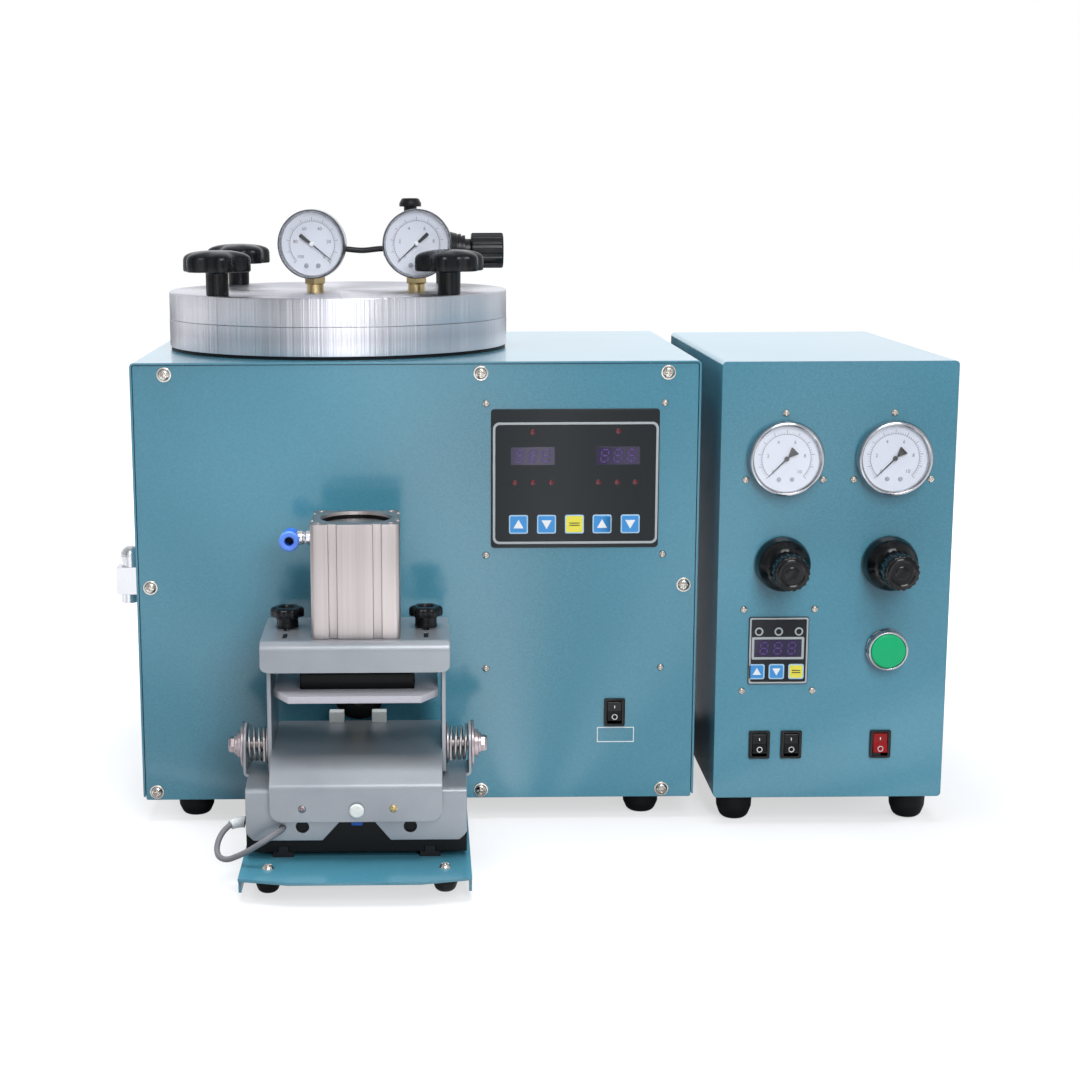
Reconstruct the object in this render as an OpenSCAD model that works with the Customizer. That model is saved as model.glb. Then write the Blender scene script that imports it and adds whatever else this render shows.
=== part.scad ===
// Wax injector for filling rubber moulds: a heated wax pot in a sheet steel case, an air
// driven clamp that holds the mould against the nozzle, and the clamp's own control box.
// Millimetres. +X is to the right seen from the front, +Y runs to the back, +Z is up.
// Inside the modules X is measured from the middle of the main case, Y from its front
// panel and Z from the floor; place() then moves each piece to the common origin.

/* [Main case] */
// Width of the main case
case_w = 410; // [390:1:440]
// Depth of the main case
case_d = 295; // [285:1:330]
// Height of the main case without its feet
case_h = 326; // [316:1:360]
// Thickness of the sheet steel covers
sheet = 1.5; // [1:0.1:2]
// Thickness of the front panel
panel_t = 2; // [1.5:0.1:3]
// Height of the rubber feet under the main case
foot_h = 16; // [14:0.5:20]
// Width of a rubber foot at its top
foot_d = 27; // [22:1:30]
// Gap left round a panel or a part that drops into a hole
gap = 0.4; // [0.3:0.05:0.6]

/* [Wax pot and lid] */
// Width of the pot's flange and lid
lid_d = 264; // [258:1:270]
// Thickness of the lid
lid_t = 21; // [18:1:26]
// Thickness of the flange under the lid
flange_t = 21; // [18:1:26]
// Thickness of the gasket between the flange and the case
gasket_t = 2.5; // [1.5:0.5:4]
// Distance of the lid's middle from the case's middle, to the left
lid_left = 61; // [55:1:66]
// Distance of the lid's middle behind the front panel
lid_back = 146; // [142:1:150]
// Inner width of the wax pot
pot_bore = 190; // [170:1:194]
// Wall of the wax pot
pot_wall = 4; // [3:0.5:5]
// Inner depth of the pot below the flange
pot_depth = 150; // [120:5:170]
// Radius of the circle of lid screws
stud_ring = 121.5; // [119:0.5:122]
// Width of a lid screw
stud_d = 8; // [6:0.5:10]
// Width across the lobes of a star knob
star_d = 50; // [46:1:52]
// Height of a star knob's head
star_h = 16; // [14:1:20]
// Height of a star knob's neck above the lid
star_neck_h = 17.3; // [15:0.1:20]
// Width of a star knob's neck
star_neck_d = 18.8; // [16:0.2:20]

/* [Lid gauges] */
// Width of a lid gauge
lid_gauge_d = 52; // [48:0.5:54]
// Depth of a lid gauge's case
lid_gauge_t = 24; // [20:1:26]
// Height of a gauge's middle above the lid
lid_gauge_z = 36.5; // [35:0.5:40]
// Width of the gauge's square end across the flats of its hexagon
stem_af = 16; // [14:0.5:17]
// Distance between the two lid gauges
lid_gauge_gap = 77; // [72:1:80]
// Distance of the lid gauges behind the front panel
lid_gauge_y = 98.5; // [98.5:0.5:104]

/* [Clamp] */
// Distance of the clamp's middle from the case's middle, to the left
clamp_left = 42; // [38:1:46]
// Width of the clamp's tray
tray_w = 117; // [110:1:120]
// Height of the tray's top above the floor
tray_z = 84; // [82:0.5:86]
// Thickness of the tray, the yoke and the beam
plate_t = 2; // [1.5:0.1:2.5]
// Thickness of the tray's side plates
side_t = 2.8; // [2:0.1:3]
// Height of the beam's top above the floor
beam_z = 165; // [160:1:170]
// Width of the beam
beam_w = 128; // [126:1:130]
// Width of the carriage block
block_w = 150; // [144:1:152]
// Width of the clamp's base plate
base_w = 155; // [154:1:158]
// Distance of the base plate's front edge from the front panel
base_front = 176; // [172:1:182]
// Height of the pivot above the floor
pivot_z = 82.5; // [81:0.5:84]
// Distance of the pivot from the front panel
pivot_y = 80; // [78:1:82]
// Width of the pivot bolts
pivot_d = 8; // [6:0.5:9]
// Travel of the carriage towards the nozzle
carriage_travel = 14; // [8:1:14]
// Travel of the pressure plate
press_travel = 30; // [20:1:31]
// Thickness of the pressure plate
press_t = 5.3; // [4:0.1:8]
// Height of the pressure plate's underside above the tray
press_open = 36.7; // [34:0.1:37.5]

/* [Air cylinder] */
// Width of the air cylinder's square body
cyl_w = 60; // [58:1:62]
// Height of the air cylinder
cyl_h = 78.5; // [74:0.5:84]
// Width of the air cylinder's rod
rod_d = 16; // [12:1:20]
// Outer width of the air tube that the clamp's elbow takes
tube_d = 6; // [4:0.5:6.5]

/* [Springs] */
// Outer width of a pivot spring
spring_d = 24; // [22:0.5:25]
// Wire of a pivot spring
wire_d = 1.8; // [1.6:0.1:2.2]
// Turns of a pivot spring
spring_turns = 3; // [2:1:3]

/* [Control box] */
// Width of the control box
box_w = 168.5; // [166:0.5:180]
// Depth of the control box
box_d = 285; // [260:1:300]
// Height of the control box without its feet
box_h = 322; // [316:1:340]
// Space between the main case and the control box
box_space = 12.5; // [8:0.5:30]
// Distance of the box's front ahead of the main front panel
box_ahead = 17; // [0:1:30]
// Height of the feet under the control box
box_foot_h = 20.5; // [16:0.5:22]
// Width of a panel gauge
panel_gauge_d = 53; // [48:0.5:54]
// Distance of a panel gauge's face ahead of the panel
panel_gauge_proud = 10; // [6:0.5:12]
// Distance between the two columns of gauges and knobs
column_gap = 77.5; // [72:0.5:80]
// Width of a regulator's round bonnet
bonnet_d = 40; // [36:0.5:42]
// Width of a regulator's knob
grip_d = 26; // [22:0.5:28]
// Width of the start button's cap
start_d = 25; // [22:0.5:26]
// Travel of the start button
start_travel = 3; // [1.5:0.5:3]

/* [Switches] */
// Width of a rocker switch
switch_w = 15.5; // [14.5:0.1:16]
// Height of a rocker switch
switch_h = 21; // [20:0.1:22]
// Angle that a rocker tips through
rocker_angle = 16; // [10:1:18]

/* [Hidden] */
$fn = 48;

// Main case
case_r = case_w / 2;
case_top = foot_h + case_h;
tap_reach = 23;
box_left = case_r + box_space;
box_mid = box_left + box_w / 2;
box_top = box_foot_h + box_h;
box_y = -box_ahead;
inlet_proud = 4;
inlet_x = case_r - 60;
inlet_z = foot_h + 67.8;
inlet_w = 27;
inlet_h = 47;
pump_x = case_r - 95;
pump_y = case_d - 105;
// Middle of the whole model's plan, which is the common origin
centre_x = (box_left + box_w - case_r - tap_reach) / 2;
centre_y = (case_d + inlet_proud - base_front) / 2;

// Lid
flange_z = case_top + gasket_t;
lid_z = flange_z + flange_t;
lid_top = lid_z + lid_t;
pot_hole_d = pot_bore + 2 * pot_wall + 22;
stud_angles = [225, 315, 45, 135];
gauge_mid_x = -38;
gauge_z = lid_top + lid_gauge_z;
regulator_x = 5;
regulator_y = 134;
regulator_z = lid_top + 30;
// The regulator's stem and the hose's post stand behind the gauges' square ends
regulator_stem_x = -4.6;
hose_post_x = -1.9;

// Clamp
cx = -clamp_left;
tray_l = cx - tray_w / 2;
tray_back = -26;
tray_bend = -121;
apron_y = -135;
apron_foot = 43.6;
ramp_z = 67;
shelf_z = 65;
shelf_front = -129.5;
arm_x = 79;
arm_t = plate_t;
yoke_half = 73;
yoke_low = 29;
beam_front = -122;
beam_back = -45;
lip_z = beam_z - 21;
cyl_y = -82.5;
cyl_corner = 3;
groove_x = 15;
groove_w = 5.6;
groove_t = 1.8;
bore_d = 50;
elbow_out = 16.4;
elbow_ahead = 18;
press_low = tray_z + press_open;
// Block that joins the pressure plate to the rod
press_block_w = 79;
press_block_l = 28;
press_block_h = 11;
nozzle_z = tray_z + 14;
nozzle_x = cx - 1.5;
sump_d = 60;
side_in = tray_w / 2 + 0.3;
side_front = pivot_y + 20;
side_back = -37;
side_top = beam_z - plate_t;
knob_x = 48;
knob_y = -74;
knob_screw_d = 4;
knob_neck_h = 8.3;
knob_neck_d = 14.6;
knob_head_h = 6.2;
knob_head_d = 22;
slot_ahead = 11;
slot_behind = 5;
// Oblong hole in the beam ahead of each knob
beam_hole_y = -105;
beam_hole_w = 2.6;
beam_hole_l = 4;
washer_d = 32;
washer_t = 2;
inner_washer_t = 1.5;
block_top = shelf_z - plate_t;
block_front = -127;
block_back = -28;
block_low = foot_h + 4;
rail_x = 50;
rail_w = 7;
rail_foot_w = 14;
// Fixed rod and piston inside the carriage block
rod_end = -12;
piston_y = -92;
piston_d = 30;
slide_rod_d = 10;
slide_rod_z = foot_h + 24;

// Control box
left_col = box_mid - column_gap / 2 + 0.6;
right_col = left_col + column_gap;
panel_gauge_z = box_top - 68.8;
bonnet_z = box_top - 145.8;
start_z = box_foot_h + 112.2;
box_switch_z = box_foot_h + 40.7;
counter_z = start_z - 0.5;
port_z = box_foot_h + 99.5;
port_gap = 30;
port_d = 12;

// Controller
ctrl_x = 114.7;
ctrl_z = case_top - 85;
ctrl_w = 121.7;
ctrl_h = 101.4;
main_switch_x = 145.5;
main_switch_z = foot_h + 66;

// Positions of the screws on the main front panel: wide ones, then narrow ones
screw_top = case_top - 8.4;
screw_mid = foot_h + 162;
screw_low = foot_h + 6.5;
wide_screws = [[24.5 - case_r, screw_top], [46.5, screw_top], [case_r - 23.7, screw_top],
  [10 - case_r, screw_mid], [case_r - 10, screw_mid],
  [10 - case_r, screw_low], [46.5, screw_low], [case_r - 23.7, screw_low]];
narrow_screws = [for (z = [ctrl_z + 54.8, ctrl_z - 56.2, main_switch_z + 33.8], sx = [-1, 1])
  [ctrl_x + sx * 64.5, z]];
// Screws on the control box: round each gauge, then round the counter
gauge_screw_ring = 32;
counter_w = 43.5;
counter_h = 50;
counter_x = left_col - 1;
screw_hole = 3.4;
wide_head_d = 9.6;
narrow_head_d = 5.5;
narrow_hole = 2.4;
switch_spots = [[main_switch_x, 0, main_switch_z], [left_col - 13, box_y, box_switch_z],
  [left_col + 10.4, box_y, box_switch_z], [right_col - 1.5, box_y, box_switch_z]];
rocker_hole_w = 10.8;
rocker_hole_h = 17.4;

// The cable of the clamp's button, from the carriage's side round to the tray's apron
cable_d = 4;
cable_end_x = -92;
cable_end_z = 38;
cable_route = [[-117.1, -112, 36.5], [-121.2, -112, 36.6], [-126.2, -113, 36], [-130, -115, 34.6],
  [-134, -118, 31.1], [-136.6, -122, 26.6], [-137.2, -127, 21.8], [-135, -132, 18.6],
  [-129.4, -137, 18.6], [-122.2, -141, 22.2], [-114.2, -144, 27], [-106.5, -145, 32],
  [-100, -142.8, 35.5], [-95.4, -138.8, 37.5], [-92.8, -134.6, cable_end_z],
  [cable_end_x, -131, cable_end_z], [cable_end_x, -127.6, cable_end_z]];

teal = [0.23, 0.46, 0.53];
grey = [0.58, 0.61, 0.64];
silver = [0.8, 0.81, 0.83];
black = [0.06, 0.06, 0.07];
white = [0.92, 0.92, 0.9];
brass = [0.8, 0.62, 0.25];
rubber = [0.05, 0.05, 0.05];

// Moves a piece from the case's own measures to the common origin
module place() translate([-centre_x, -centre_y, 0]) children();

// A flat rectangle round its own middle, with round corners
module rounded(w, h, r) {
  square([w - 2 * r, h], center = true);
  square([w, h - 2 * r], center = true);
  for (sx = [-1, 1], sy = [-1, 1]) translate([sx * (w / 2 - r), sy * (h / 2 - r)]) circle(r);
}

// A round bar along Y that starts at y and runs to the back
module bar_y(d, len) rotate([-90, 0, 0]) cylinder(h = len, d = d);

// A round bar along X that starts at x and runs to the right
module bar_x(d, len) rotate([0, 90, 0]) cylinder(h = len, d = d);

// A plate in the XZ plane, its front at y = 0 and its thickness to the back
module wall_y(t) translate([0, t, 0]) rotate([90, 0, 0]) linear_extrude(t) children();

// A plate in the YZ plane that starts at x = 0, drawn with Y across and Z up
module wall_x(t) rotate([90, 0, 90]) linear_extrude(t) children();

// A low round head that stands on z = 0 with its shank below
module pan_screw(head_d, head_h, shank_d, shank_l) {
  ball = (head_d * head_d / 4 + head_h * head_h) / (2 * head_h);
  intersection() {
    cylinder(h = head_h, d = head_d);
    translate([0, 0, head_h - ball]) sphere(ball);
  }
  translate([0, 0, -shank_l]) cylinder(h = shank_l + 0.1, d = shank_d);
}

// Turns a screw that stands on z = 0 so that its head looks to the front
module to_front() rotate([90, 0, 0]) children();

// A tapered rubber foot that stands on the floor, wide at its top
module foot(d, h) {
  rotate_extrude() polygon([[0, 0], [d * 0.36, 0], [d * 0.43, 1.2], [d / 2, h - 2], [d / 2, h], [0, h]]);
}

// ---- Main case ----

module base_pan() color(teal) place() difference() {
  pan_w = case_w - 2 * (sheet + gap);
  rear_y = case_d - sheet;
  union() {
    translate([-pan_w / 2, panel_t + gap, foot_h]) cube([pan_w, rear_y - panel_t - gap, sheet]);
    translate([-pan_w / 2, rear_y - 0.01, foot_h]) cube([pan_w, sheet, case_h - sheet - gap]);
    for (sx = [-1, 1])
      translate([sx * (pan_w / 2 - sheet / 2) - sheet / 2, panel_t + gap, foot_h])
        cube([sheet, rear_y - panel_t, 16]);
  }
  for (i = [0 : 7]) translate([case_r - 150, rear_y - 1, 190 + i * 12]) cube([90, 4, 4]);
  translate([inlet_x - inlet_w / 2 - 0.3, rear_y - 1, inlet_z - inlet_h / 2 - 0.3])
    cube([inlet_w + 0.6, 4, inlet_h + 0.6]);
  for (p = main_feet()) translate([p[0], p[1], foot_h - 1]) cylinder(h = 4, d = screw_hole);
  for (p = narrow_holes_base()) translate([p[0], p[1], foot_h - 1]) cylinder(h = 4, d = screw_hole);
}

function main_feet() = [for (sx = [-1, 1], y = [21, case_d - 32]) [sx * (case_r - 37), y]];
function narrow_holes_base() = [[cx - 35, 24], [cx + 35, 24]];

module case_cover() color(teal) place() difference() {
  bend = 3;
  rear = case_d - sheet - gap;
  translate([0, -1, 0]) wall_y(rear + 1) difference() {
    translate([0, foot_h + case_h / 2]) rounded(case_w, case_h, bend);
    translate([0, foot_h + case_h / 2 - sheet]) rounded(case_w - 2 * sheet, case_h, bend - sheet);
    translate([-case_r - 1, foot_h - 1]) square([case_w + 2, 4]);
  }
  translate([-lid_left, lid_back, case_top - 10]) cylinder(h = 20, d = pot_hole_d);
  // the drain tap's shank
  translate([-case_r - 1, 60, 171]) bar_x(12 + gap, 10);
  // cooling slots low in the right side
  for (i = [0 : 5]) translate([case_r - 4, case_d - 120, 60 + i * 12]) cube([8, 80, 4]);
}

module front_panel() color(teal) place() difference() {
  w = case_w - 2 * (sheet + gap);
  low = foot_h + gap;
  high = case_top - sheet - gap;
  translate([0, 0, (low + high) / 2]) wall_y(panel_t) rounded(w, high - low, 1.5);
  translate([ctrl_x - 52, -1, ctrl_z - 43]) cube([104, panel_t + 2, 86]);
  translate([main_switch_x - 6.6, -1, main_switch_z - 9.6]) cube([13.2, panel_t + 2, 19.2]);
  translate([nozzle_x, -1, nozzle_z]) bar_y(24 + 2 * gap, panel_t + 2);
  for (p = wide_screws) translate([p[0], -1, p[1]]) bar_y(screw_hole, panel_t + 2);
  for (p = narrow_screws) translate([p[0], -1, p[1]]) bar_y(narrow_hole, panel_t + 2);
}

function box_feet() = [for (x = [18.5, 148.5], y = [19, box_d - 22]) [box_left + x, box_y + y]];
function clamp_feet() = [[cx - 59, 28 - base_front], [cx + 60, 28 - base_front]];
clamp_foot_d = 17.5;

module rubber_feet() color(rubber) place() {
  for (p = main_feet()) translate([p[0], p[1], 0]) foot(foot_d, foot_h);
  for (p = box_feet()) translate([p[0], p[1], 0]) foot(foot_d, box_foot_h);
  for (p = clamp_feet()) translate([p[0], p[1], 0]) foot(clamp_foot_d, base_low());
}

// Underside of the clamp's base plate
function base_low() = foot_h - plate_t;

module panel_screws() color(silver) place() {
  for (p = wide_screws) translate([p[0], 0, p[1]])
    to_front() pan_screw(wide_head_d, 2.6, screw_hole - 0.2, 6);
  for (p = narrow_screws) translate([p[0], 0, p[1]])
    to_front() pan_screw(narrow_head_d, 2, narrow_hole - 0.2, 5);
  for (x = [left_col, right_col], a = [90, 210, 330])
    translate([x + gauge_screw_ring * cos(a), box_y, panel_gauge_z + gauge_screw_ring * sin(a)])
      to_front() pan_screw(narrow_head_d, 2, narrow_hole - 0.2, 5);
  for (sx = [-1, 1], sz = [-1, 1])
    translate([counter_x + sx * 25.8, box_y, counter_z + sz * 30.5])
      to_front() pan_screw(narrow_head_d, 2, narrow_hole - 0.2, 5);
  for (p = clamp_feet()) translate([p[0], p[1], foot_h]) pan_screw(8, 3.4, screw_hole - 0.2, plate_t);
}

// ---- Wax pot ----

module pot_gasket() color(rubber) place() translate([-lid_left, lid_back, case_top])
  rotate_extrude() translate([pot_hole_d / 2, 0]) square([(lid_d - pot_hole_d) / 2 - 1, gasket_t]);

module pot_flange() color(silver) place() translate([-lid_left, lid_back, flange_z]) difference() {
  cylinder(h = flange_t, d = lid_d);
  translate([0, 0, -1]) cylinder(h = flange_t + 2, d = pot_bore);
  translate([0, 0, -1]) cylinder(h = 5 + 1, d = pot_bore + 2 * pot_wall + 0.2);
  for (a = stud_angles) translate([stud_ring * cos(a), stud_ring * sin(a), 4])
    cylinder(h = flange_t, d = stud_d + 0.1);
}

module wax_pot() color(silver) place() translate([-lid_left, lid_back, flange_z + 5 - 0.05]) difference() {
  outlet_z = nozzle_z - flange_z - 5;
  sump_x = nozzle_x + lid_left;
  union() {
    translate([0, 0, -pot_depth - pot_wall]) cylinder(h = pot_depth + pot_wall, d = pot_bore + 2 * pot_wall);
    // sump that feeds the nozzle
    translate([sump_x, 0, outlet_z - 12]) cylinder(h = -pot_depth - outlet_z + 12, d = sump_d);
  }
  translate([0, 0, -pot_depth]) cylinder(h = pot_depth + 1, d = pot_bore);
  translate([sump_x, 0, outlet_z - 7]) cylinder(h = -pot_depth - outlet_z + 12, d = sump_d - 20);
  translate([sump_x, -sump_d / 2 - 1, outlet_z]) bar_y(6, 20);
}

module heater_band() color(brass) place() translate([-lid_left, lid_back, flange_z - 110]) difference() {
  inner = pot_bore + 2 * pot_wall + 0.6;
  cylinder(h = 60, d = inner + 6);
  translate([0, 0, -1]) cylinder(h = 62, d = inner);
  translate([-2, -200, -1]) cube([4, 200, 62]);
}

module nozzle_block() color(black) place() translate([nozzle_x, 0, nozzle_z]) difference() {
  reach = lid_back - sump_d / 2;
  union() {
    translate([0, -8, 0]) bar_y(36, 8);
    translate([0, -0.1, 0]) bar_y(24, 40);
    // feed pipe to the pot's sump
    translate([0, 39, 0]) bar_y(12, reach - 39 - 0.3);
  }
  translate([0, -9, 0]) bar_y(10.1, 8);
  translate([0, -9, 0]) bar_y(6, reach + 20);
}

module nozzle_tip() color(brass) place() translate([nozzle_x, 0, nozzle_z]) difference() {
  union() {
    translate([0, -18, 0]) bar_y(10, 16.95);
    translate([0, -22, 0]) rotate([-90, 0, 0]) cylinder(h = 4.01, d1 = 4, d2 = 10);
  }
  translate([0, -23, 0]) bar_y(1.6, 30);
}

module vacuum_pump() color(grey) place() translate([pump_x, pump_y, foot_h + sheet]) {
  translate([-40, -60, 0]) cube([80, 120, 8]);
  translate([0, -50, 44]) bar_y(68, 62);
  translate([-30, 11, 8]) cube([60, 45, 76]);
  translate([-3, -44, 7]) cube([6, 50, 12]);
}

module control_board() color("green") place() {
  translate([ctrl_x - 48, panel_t + 44, ctrl_z - 40]) cube([96, 1.6, 80]);
  for (sx = [-1, 1], sz = [-1, 1])
    translate([ctrl_x + sx * 42, panel_t + 30, ctrl_z + sz * 34]) bar_y(6, 14.1);
}

module controller_panel() color([0.17, 0.21, 0.25]) place() {
  translate([ctrl_x, -1.6, ctrl_z]) wall_y(1.6) rounded(ctrl_w, ctrl_h, 2);
  translate([ctrl_x - 51, -0.1, ctrl_z - 42]) cube([102, panel_t + 30, 84]);
}

// A rocker switch's frame and body, its frame's back on y = 0
module switch_frame() difference() {
  union() {
    translate([0, -2, 0]) wall_y(2) rounded(switch_w, switch_h, 1);
    translate([-6.4, -0.1, -9.4]) cube([12.8, 20, 18.8]);
  }
  translate([-rocker_hole_w / 2, -3, -rocker_hole_h / 2]) cube([rocker_hole_w, 15, rocker_hole_h]);
}

module switch_frames() color(black) place()
  for (p = switch_spots) translate(p) difference() {
    switch_frame();
    translate([-6.5, 4, 0]) bar_x(2, 13);
  }

// A rocker, tipped so that its lower half is pressed in, with its pin along X
module rocker() {
  w = rocker_hole_w - 0.6;
  translate([0, 4, 0]) rotate([-rocker_angle / 2, 0, 0]) {
    translate([-w / 2, 0, 0]) wall_x(w) polygon([[-5.2, 0], [-6.4, 7.2], [-2, 7.4], [2.5, 3], [2.5, -3],
      [-2, -7.4], [-6.4, -7.2]]);
    translate([-6.3, 0, 0]) bar_x(1.9, 12.6);
  }
}

module main_rocker() color(black) place() translate(switch_spots[0]) rocker();
module forward_rocker() color(black) place() translate(switch_spots[1]) rocker();
module clamp_rocker() color(black) place() translate(switch_spots[2]) rocker();
module power_rocker() color("red") place() translate(switch_spots[3]) rocker();

module drain_tap() color(silver) place() translate([-case_r, 60, 171]) difference() {
  union() {
    translate([-3, 0, 0]) bar_x(20, 2.9);
    translate([-10, 0, 0]) bar_x(12, 18);
    translate([-tap_reach, -8, -9]) cube([16, 16, 21]);
    translate([-13, 0, 12]) cylinder(h = 6, d = 14);
    translate([-13, 0, 18]) cylinder(h = 2, d = 16);
    translate([-13, 0, 20]) intersection() {
      cylinder(h = 8, d = 15);
      sphere(7.5);
    }
    translate([-tap_reach + 8, 0, -16]) cylinder(h = 8, d = 13);
  }
  translate([-tap_reach + 8, 0, -17]) cylinder(h = 14, d = 8.1);
}

module mains_inlet() color(black) place() translate([inlet_x, case_d, inlet_z]) difference() {
  union() {
    wall_y(inlet_proud) rounded(inlet_w + 4, inlet_h + 11, 2);
    translate([-inlet_w / 2, -24, -inlet_h / 2]) cube([inlet_w, 24.1, inlet_h]);
  }
  translate([0, -12, 0]) wall_y(18) translate([0, 8]) rounded(22, 17, 2);
}

// ---- Control box ----

module box_cover() color(teal) place() translate([box_mid, box_y + 2, 0]) difference() {
  wall_y(box_d - 2) difference() {
    translate([0, box_foot_h + box_h / 2]) rounded(box_w, box_h, 3);
    translate([0, box_foot_h + box_h / 2 - sheet]) rounded(box_w - 2 * sheet, box_h, 1.5);
  }
  for (i = [0 : 5]) translate([box_w / 2 - 4, box_d - 110, 60 + i * 12]) cube([8, 70, 4]);
}

module box_chassis() color(teal) place() {
  w = box_w - 2 * (sheet + gap);
  difference() {
    translate([box_mid, box_y, 0]) {
      translate([0, 0, box_foot_h + box_h / 2]) wall_y(2) rounded(box_w, box_h, 3);
      translate([-w / 2, 1.9, box_foot_h]) cube([w, box_d - 3, sheet]);
      translate([-w / 2, box_d - sheet - 0.5, box_foot_h]) cube([w, sheet, box_h - sheet - gap]);
    }
    for (x = [left_col, right_col]) {
      translate([x, box_y - 1, panel_gauge_z]) bar_y(panel_gauge_d - 3, 4);
      translate([x, box_y - 1, bonnet_z]) bar_y(30.6, 4);
      for (a = [90, 210, 330])
        translate([x + gauge_screw_ring * cos(a), box_y - 1, panel_gauge_z + gauge_screw_ring * sin(a)])
          bar_y(narrow_hole, 4);
    }
    for (sx = [-1, 1], sz = [-1, 1])
      translate([counter_x + sx * 25.8, box_y - 1, counter_z + sz * 30.5]) bar_y(narrow_hole, 4);
    translate([counter_x - 18.3, box_y - 1, counter_z - 21.3]) cube([36.6, 4, 42.6]);
    translate([right_col + 0.3, box_y - 1, start_z]) bar_y(22.6, 4);
    for (i = [1 : 3])
      translate([switch_spots[i][0] - 6.6, box_y - 1, box_switch_z - 9.6]) cube([13.2, 4, 19.2]);
    for (p = port_spots()) translate([p[0], box_y + box_d - 3, p[1]]) bar_y(port_d + gap, 4);
    for (p = box_feet()) translate([p[0], p[1], box_foot_h - 1]) cylinder(h = 4, d = screw_hole);
  }
}

function port_spots() = [for (i = [-1 : 1]) [box_mid + i * port_gap, port_z]];

// A round gauge with its face forward, its middle at the origin and its back at y = depth
module gauge_case(d, proud, depth) difference() {
  union() {
    translate([0, -proud, 0]) bar_y(d, proud - 0.1);
    translate([0, -0.2, 0]) bar_y(d - 4, depth);
  }
  translate([0, -proud - 1, 0]) bar_y(d - 5, 6);
}

module panel_gauges() color(silver) place()
  for (x = [left_col, right_col]) translate([x, box_y, panel_gauge_z]) difference() {
    union() {
      gauge_case(panel_gauge_d, panel_gauge_proud, 22);
      translate([0, -2, 0]) bar_y(16, 40);
    }
    translate([0, -panel_gauge_proud, 0]) bar_y(3.1, 12);
  }

// A gauge's pointer with its pin, facing forward, tip at angle a from +X
module pointer(reach, a) {
  translate([0, -1.6, 0]) rotate([0, -a, 0]) wall_y(0.8) {
    polygon([[0, 1], [reach, 0.3], [reach, -0.3], [0, -1]]);
    polygon([[0, 0.8], [-5, 0.8], [-9, 2.6], [-9, -2.6], [-5, -0.8], [0, -0.8]]);
    circle(2.2);
  }
  translate([0, -2.4, 0]) bar_y(3, 6);
}

module forward_pointer() color(black) place()
  translate([left_col, box_y - panel_gauge_proud + 4.6, panel_gauge_z]) pointer(19, 225);
module clamp_pointer() color(black) place()
  translate([right_col, box_y - panel_gauge_proud + 4.6, panel_gauge_z]) pointer(19, 225);

module panel_regulators() color(black) place()
  for (x = [left_col, right_col]) translate([x, box_y, bonnet_z]) difference() {
    union() {
      rotate([90, 0, 0]) rotate_extrude() difference() {
        intersection() {
          circle(bonnet_d / 2);
          translate([0, 0]) square([bonnet_d, 18]);
        }
        translate([-bonnet_d, -1]) square([bonnet_d, 30]);
      }
      translate([0, -0.1, 0]) bar_y(30, 30);
      translate([-22, 29, -22]) cube([44, 44, 44]);
    }
    translate([0, -30, 0]) bar_y(8.1, 45);
    }

// A regulator's knob along Y: a fluted grip with its spindle to the back
module grip(d, len, spindle) {
  difference() {
    translate([0, -len, 0]) bar_y(d, len);
    for (a = [0 : 30 : 330])
      translate([(d / 2 + 0.7) * cos(a), -len - 1, (d / 2 + 0.7) * sin(a)]) bar_y(2.6, len - 3);
  }
  translate([0, -1, 0]) bar_y(8, spindle);
}

module forward_knob() color(black) place() translate([left_col, box_y - 18.6, bonnet_z]) grip(grip_d, 22, 30);
module clamp_knob() color(black) place() translate([right_col, box_y - 18.6, bonnet_z]) grip(grip_d, 22, 30);

module counter_panel() color([0.1, 0.12, 0.15]) place() translate([counter_x, box_y, counter_z]) {
  translate([0, -1.6, 0]) wall_y(1.6) rounded(counter_w, counter_h, 1.5);
  translate([-18, -0.1, -21]) cube([36, 50, 42]);
}

module start_bezel() color(silver) place() translate([right_col + 0.3, box_y, start_z]) difference() {
  union() {
    translate([0, -6, 0]) bar_y(start_d + 6, 6);
    translate([0, -0.1, 0]) bar_y(22.4, 30);
  }
  translate([0, -7, 0]) bar_y(start_d + 0.6, 5.6);
  translate([0, -7, 0]) bar_y(18, 24);
}

module start_button() color("green") place() translate([right_col + 0.3, box_y, start_z]) {
  translate([0, -start_travel - 6.6, 0]) bar_y(start_d, 5);
  translate([0, -start_travel - 1.7, 0]) bar_y(17.8, 15);
}

module valve_block() color(silver) place() {
  rear = box_y + box_d;
  rail_z = box_foot_h + 39.5;
  for (p = port_spots()) translate([p[0], rear, p[1]]) {
    translate([-port_d, -62, -30]) cube([2 * port_d, 50, 56]);
    difference() {
      translate([0, -11.95, 0]) bar_y(port_d, 23.95);
      bar_y(tube_d + 0.1, 13);
    }
  }
  // manifold under the valves, on two legs
  translate([box_mid - 55, rear - 60, rail_z]) cube([110, 44, port_z - rail_z - 29.9]);
  for (i = [-1, 1]) translate([box_mid + i * 50 - 4, rear - 50, box_foot_h + sheet])
    cube([8, 24, rail_z - box_foot_h - sheet + 0.1]);
}

// ---- Lid, on four studs ----

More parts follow.
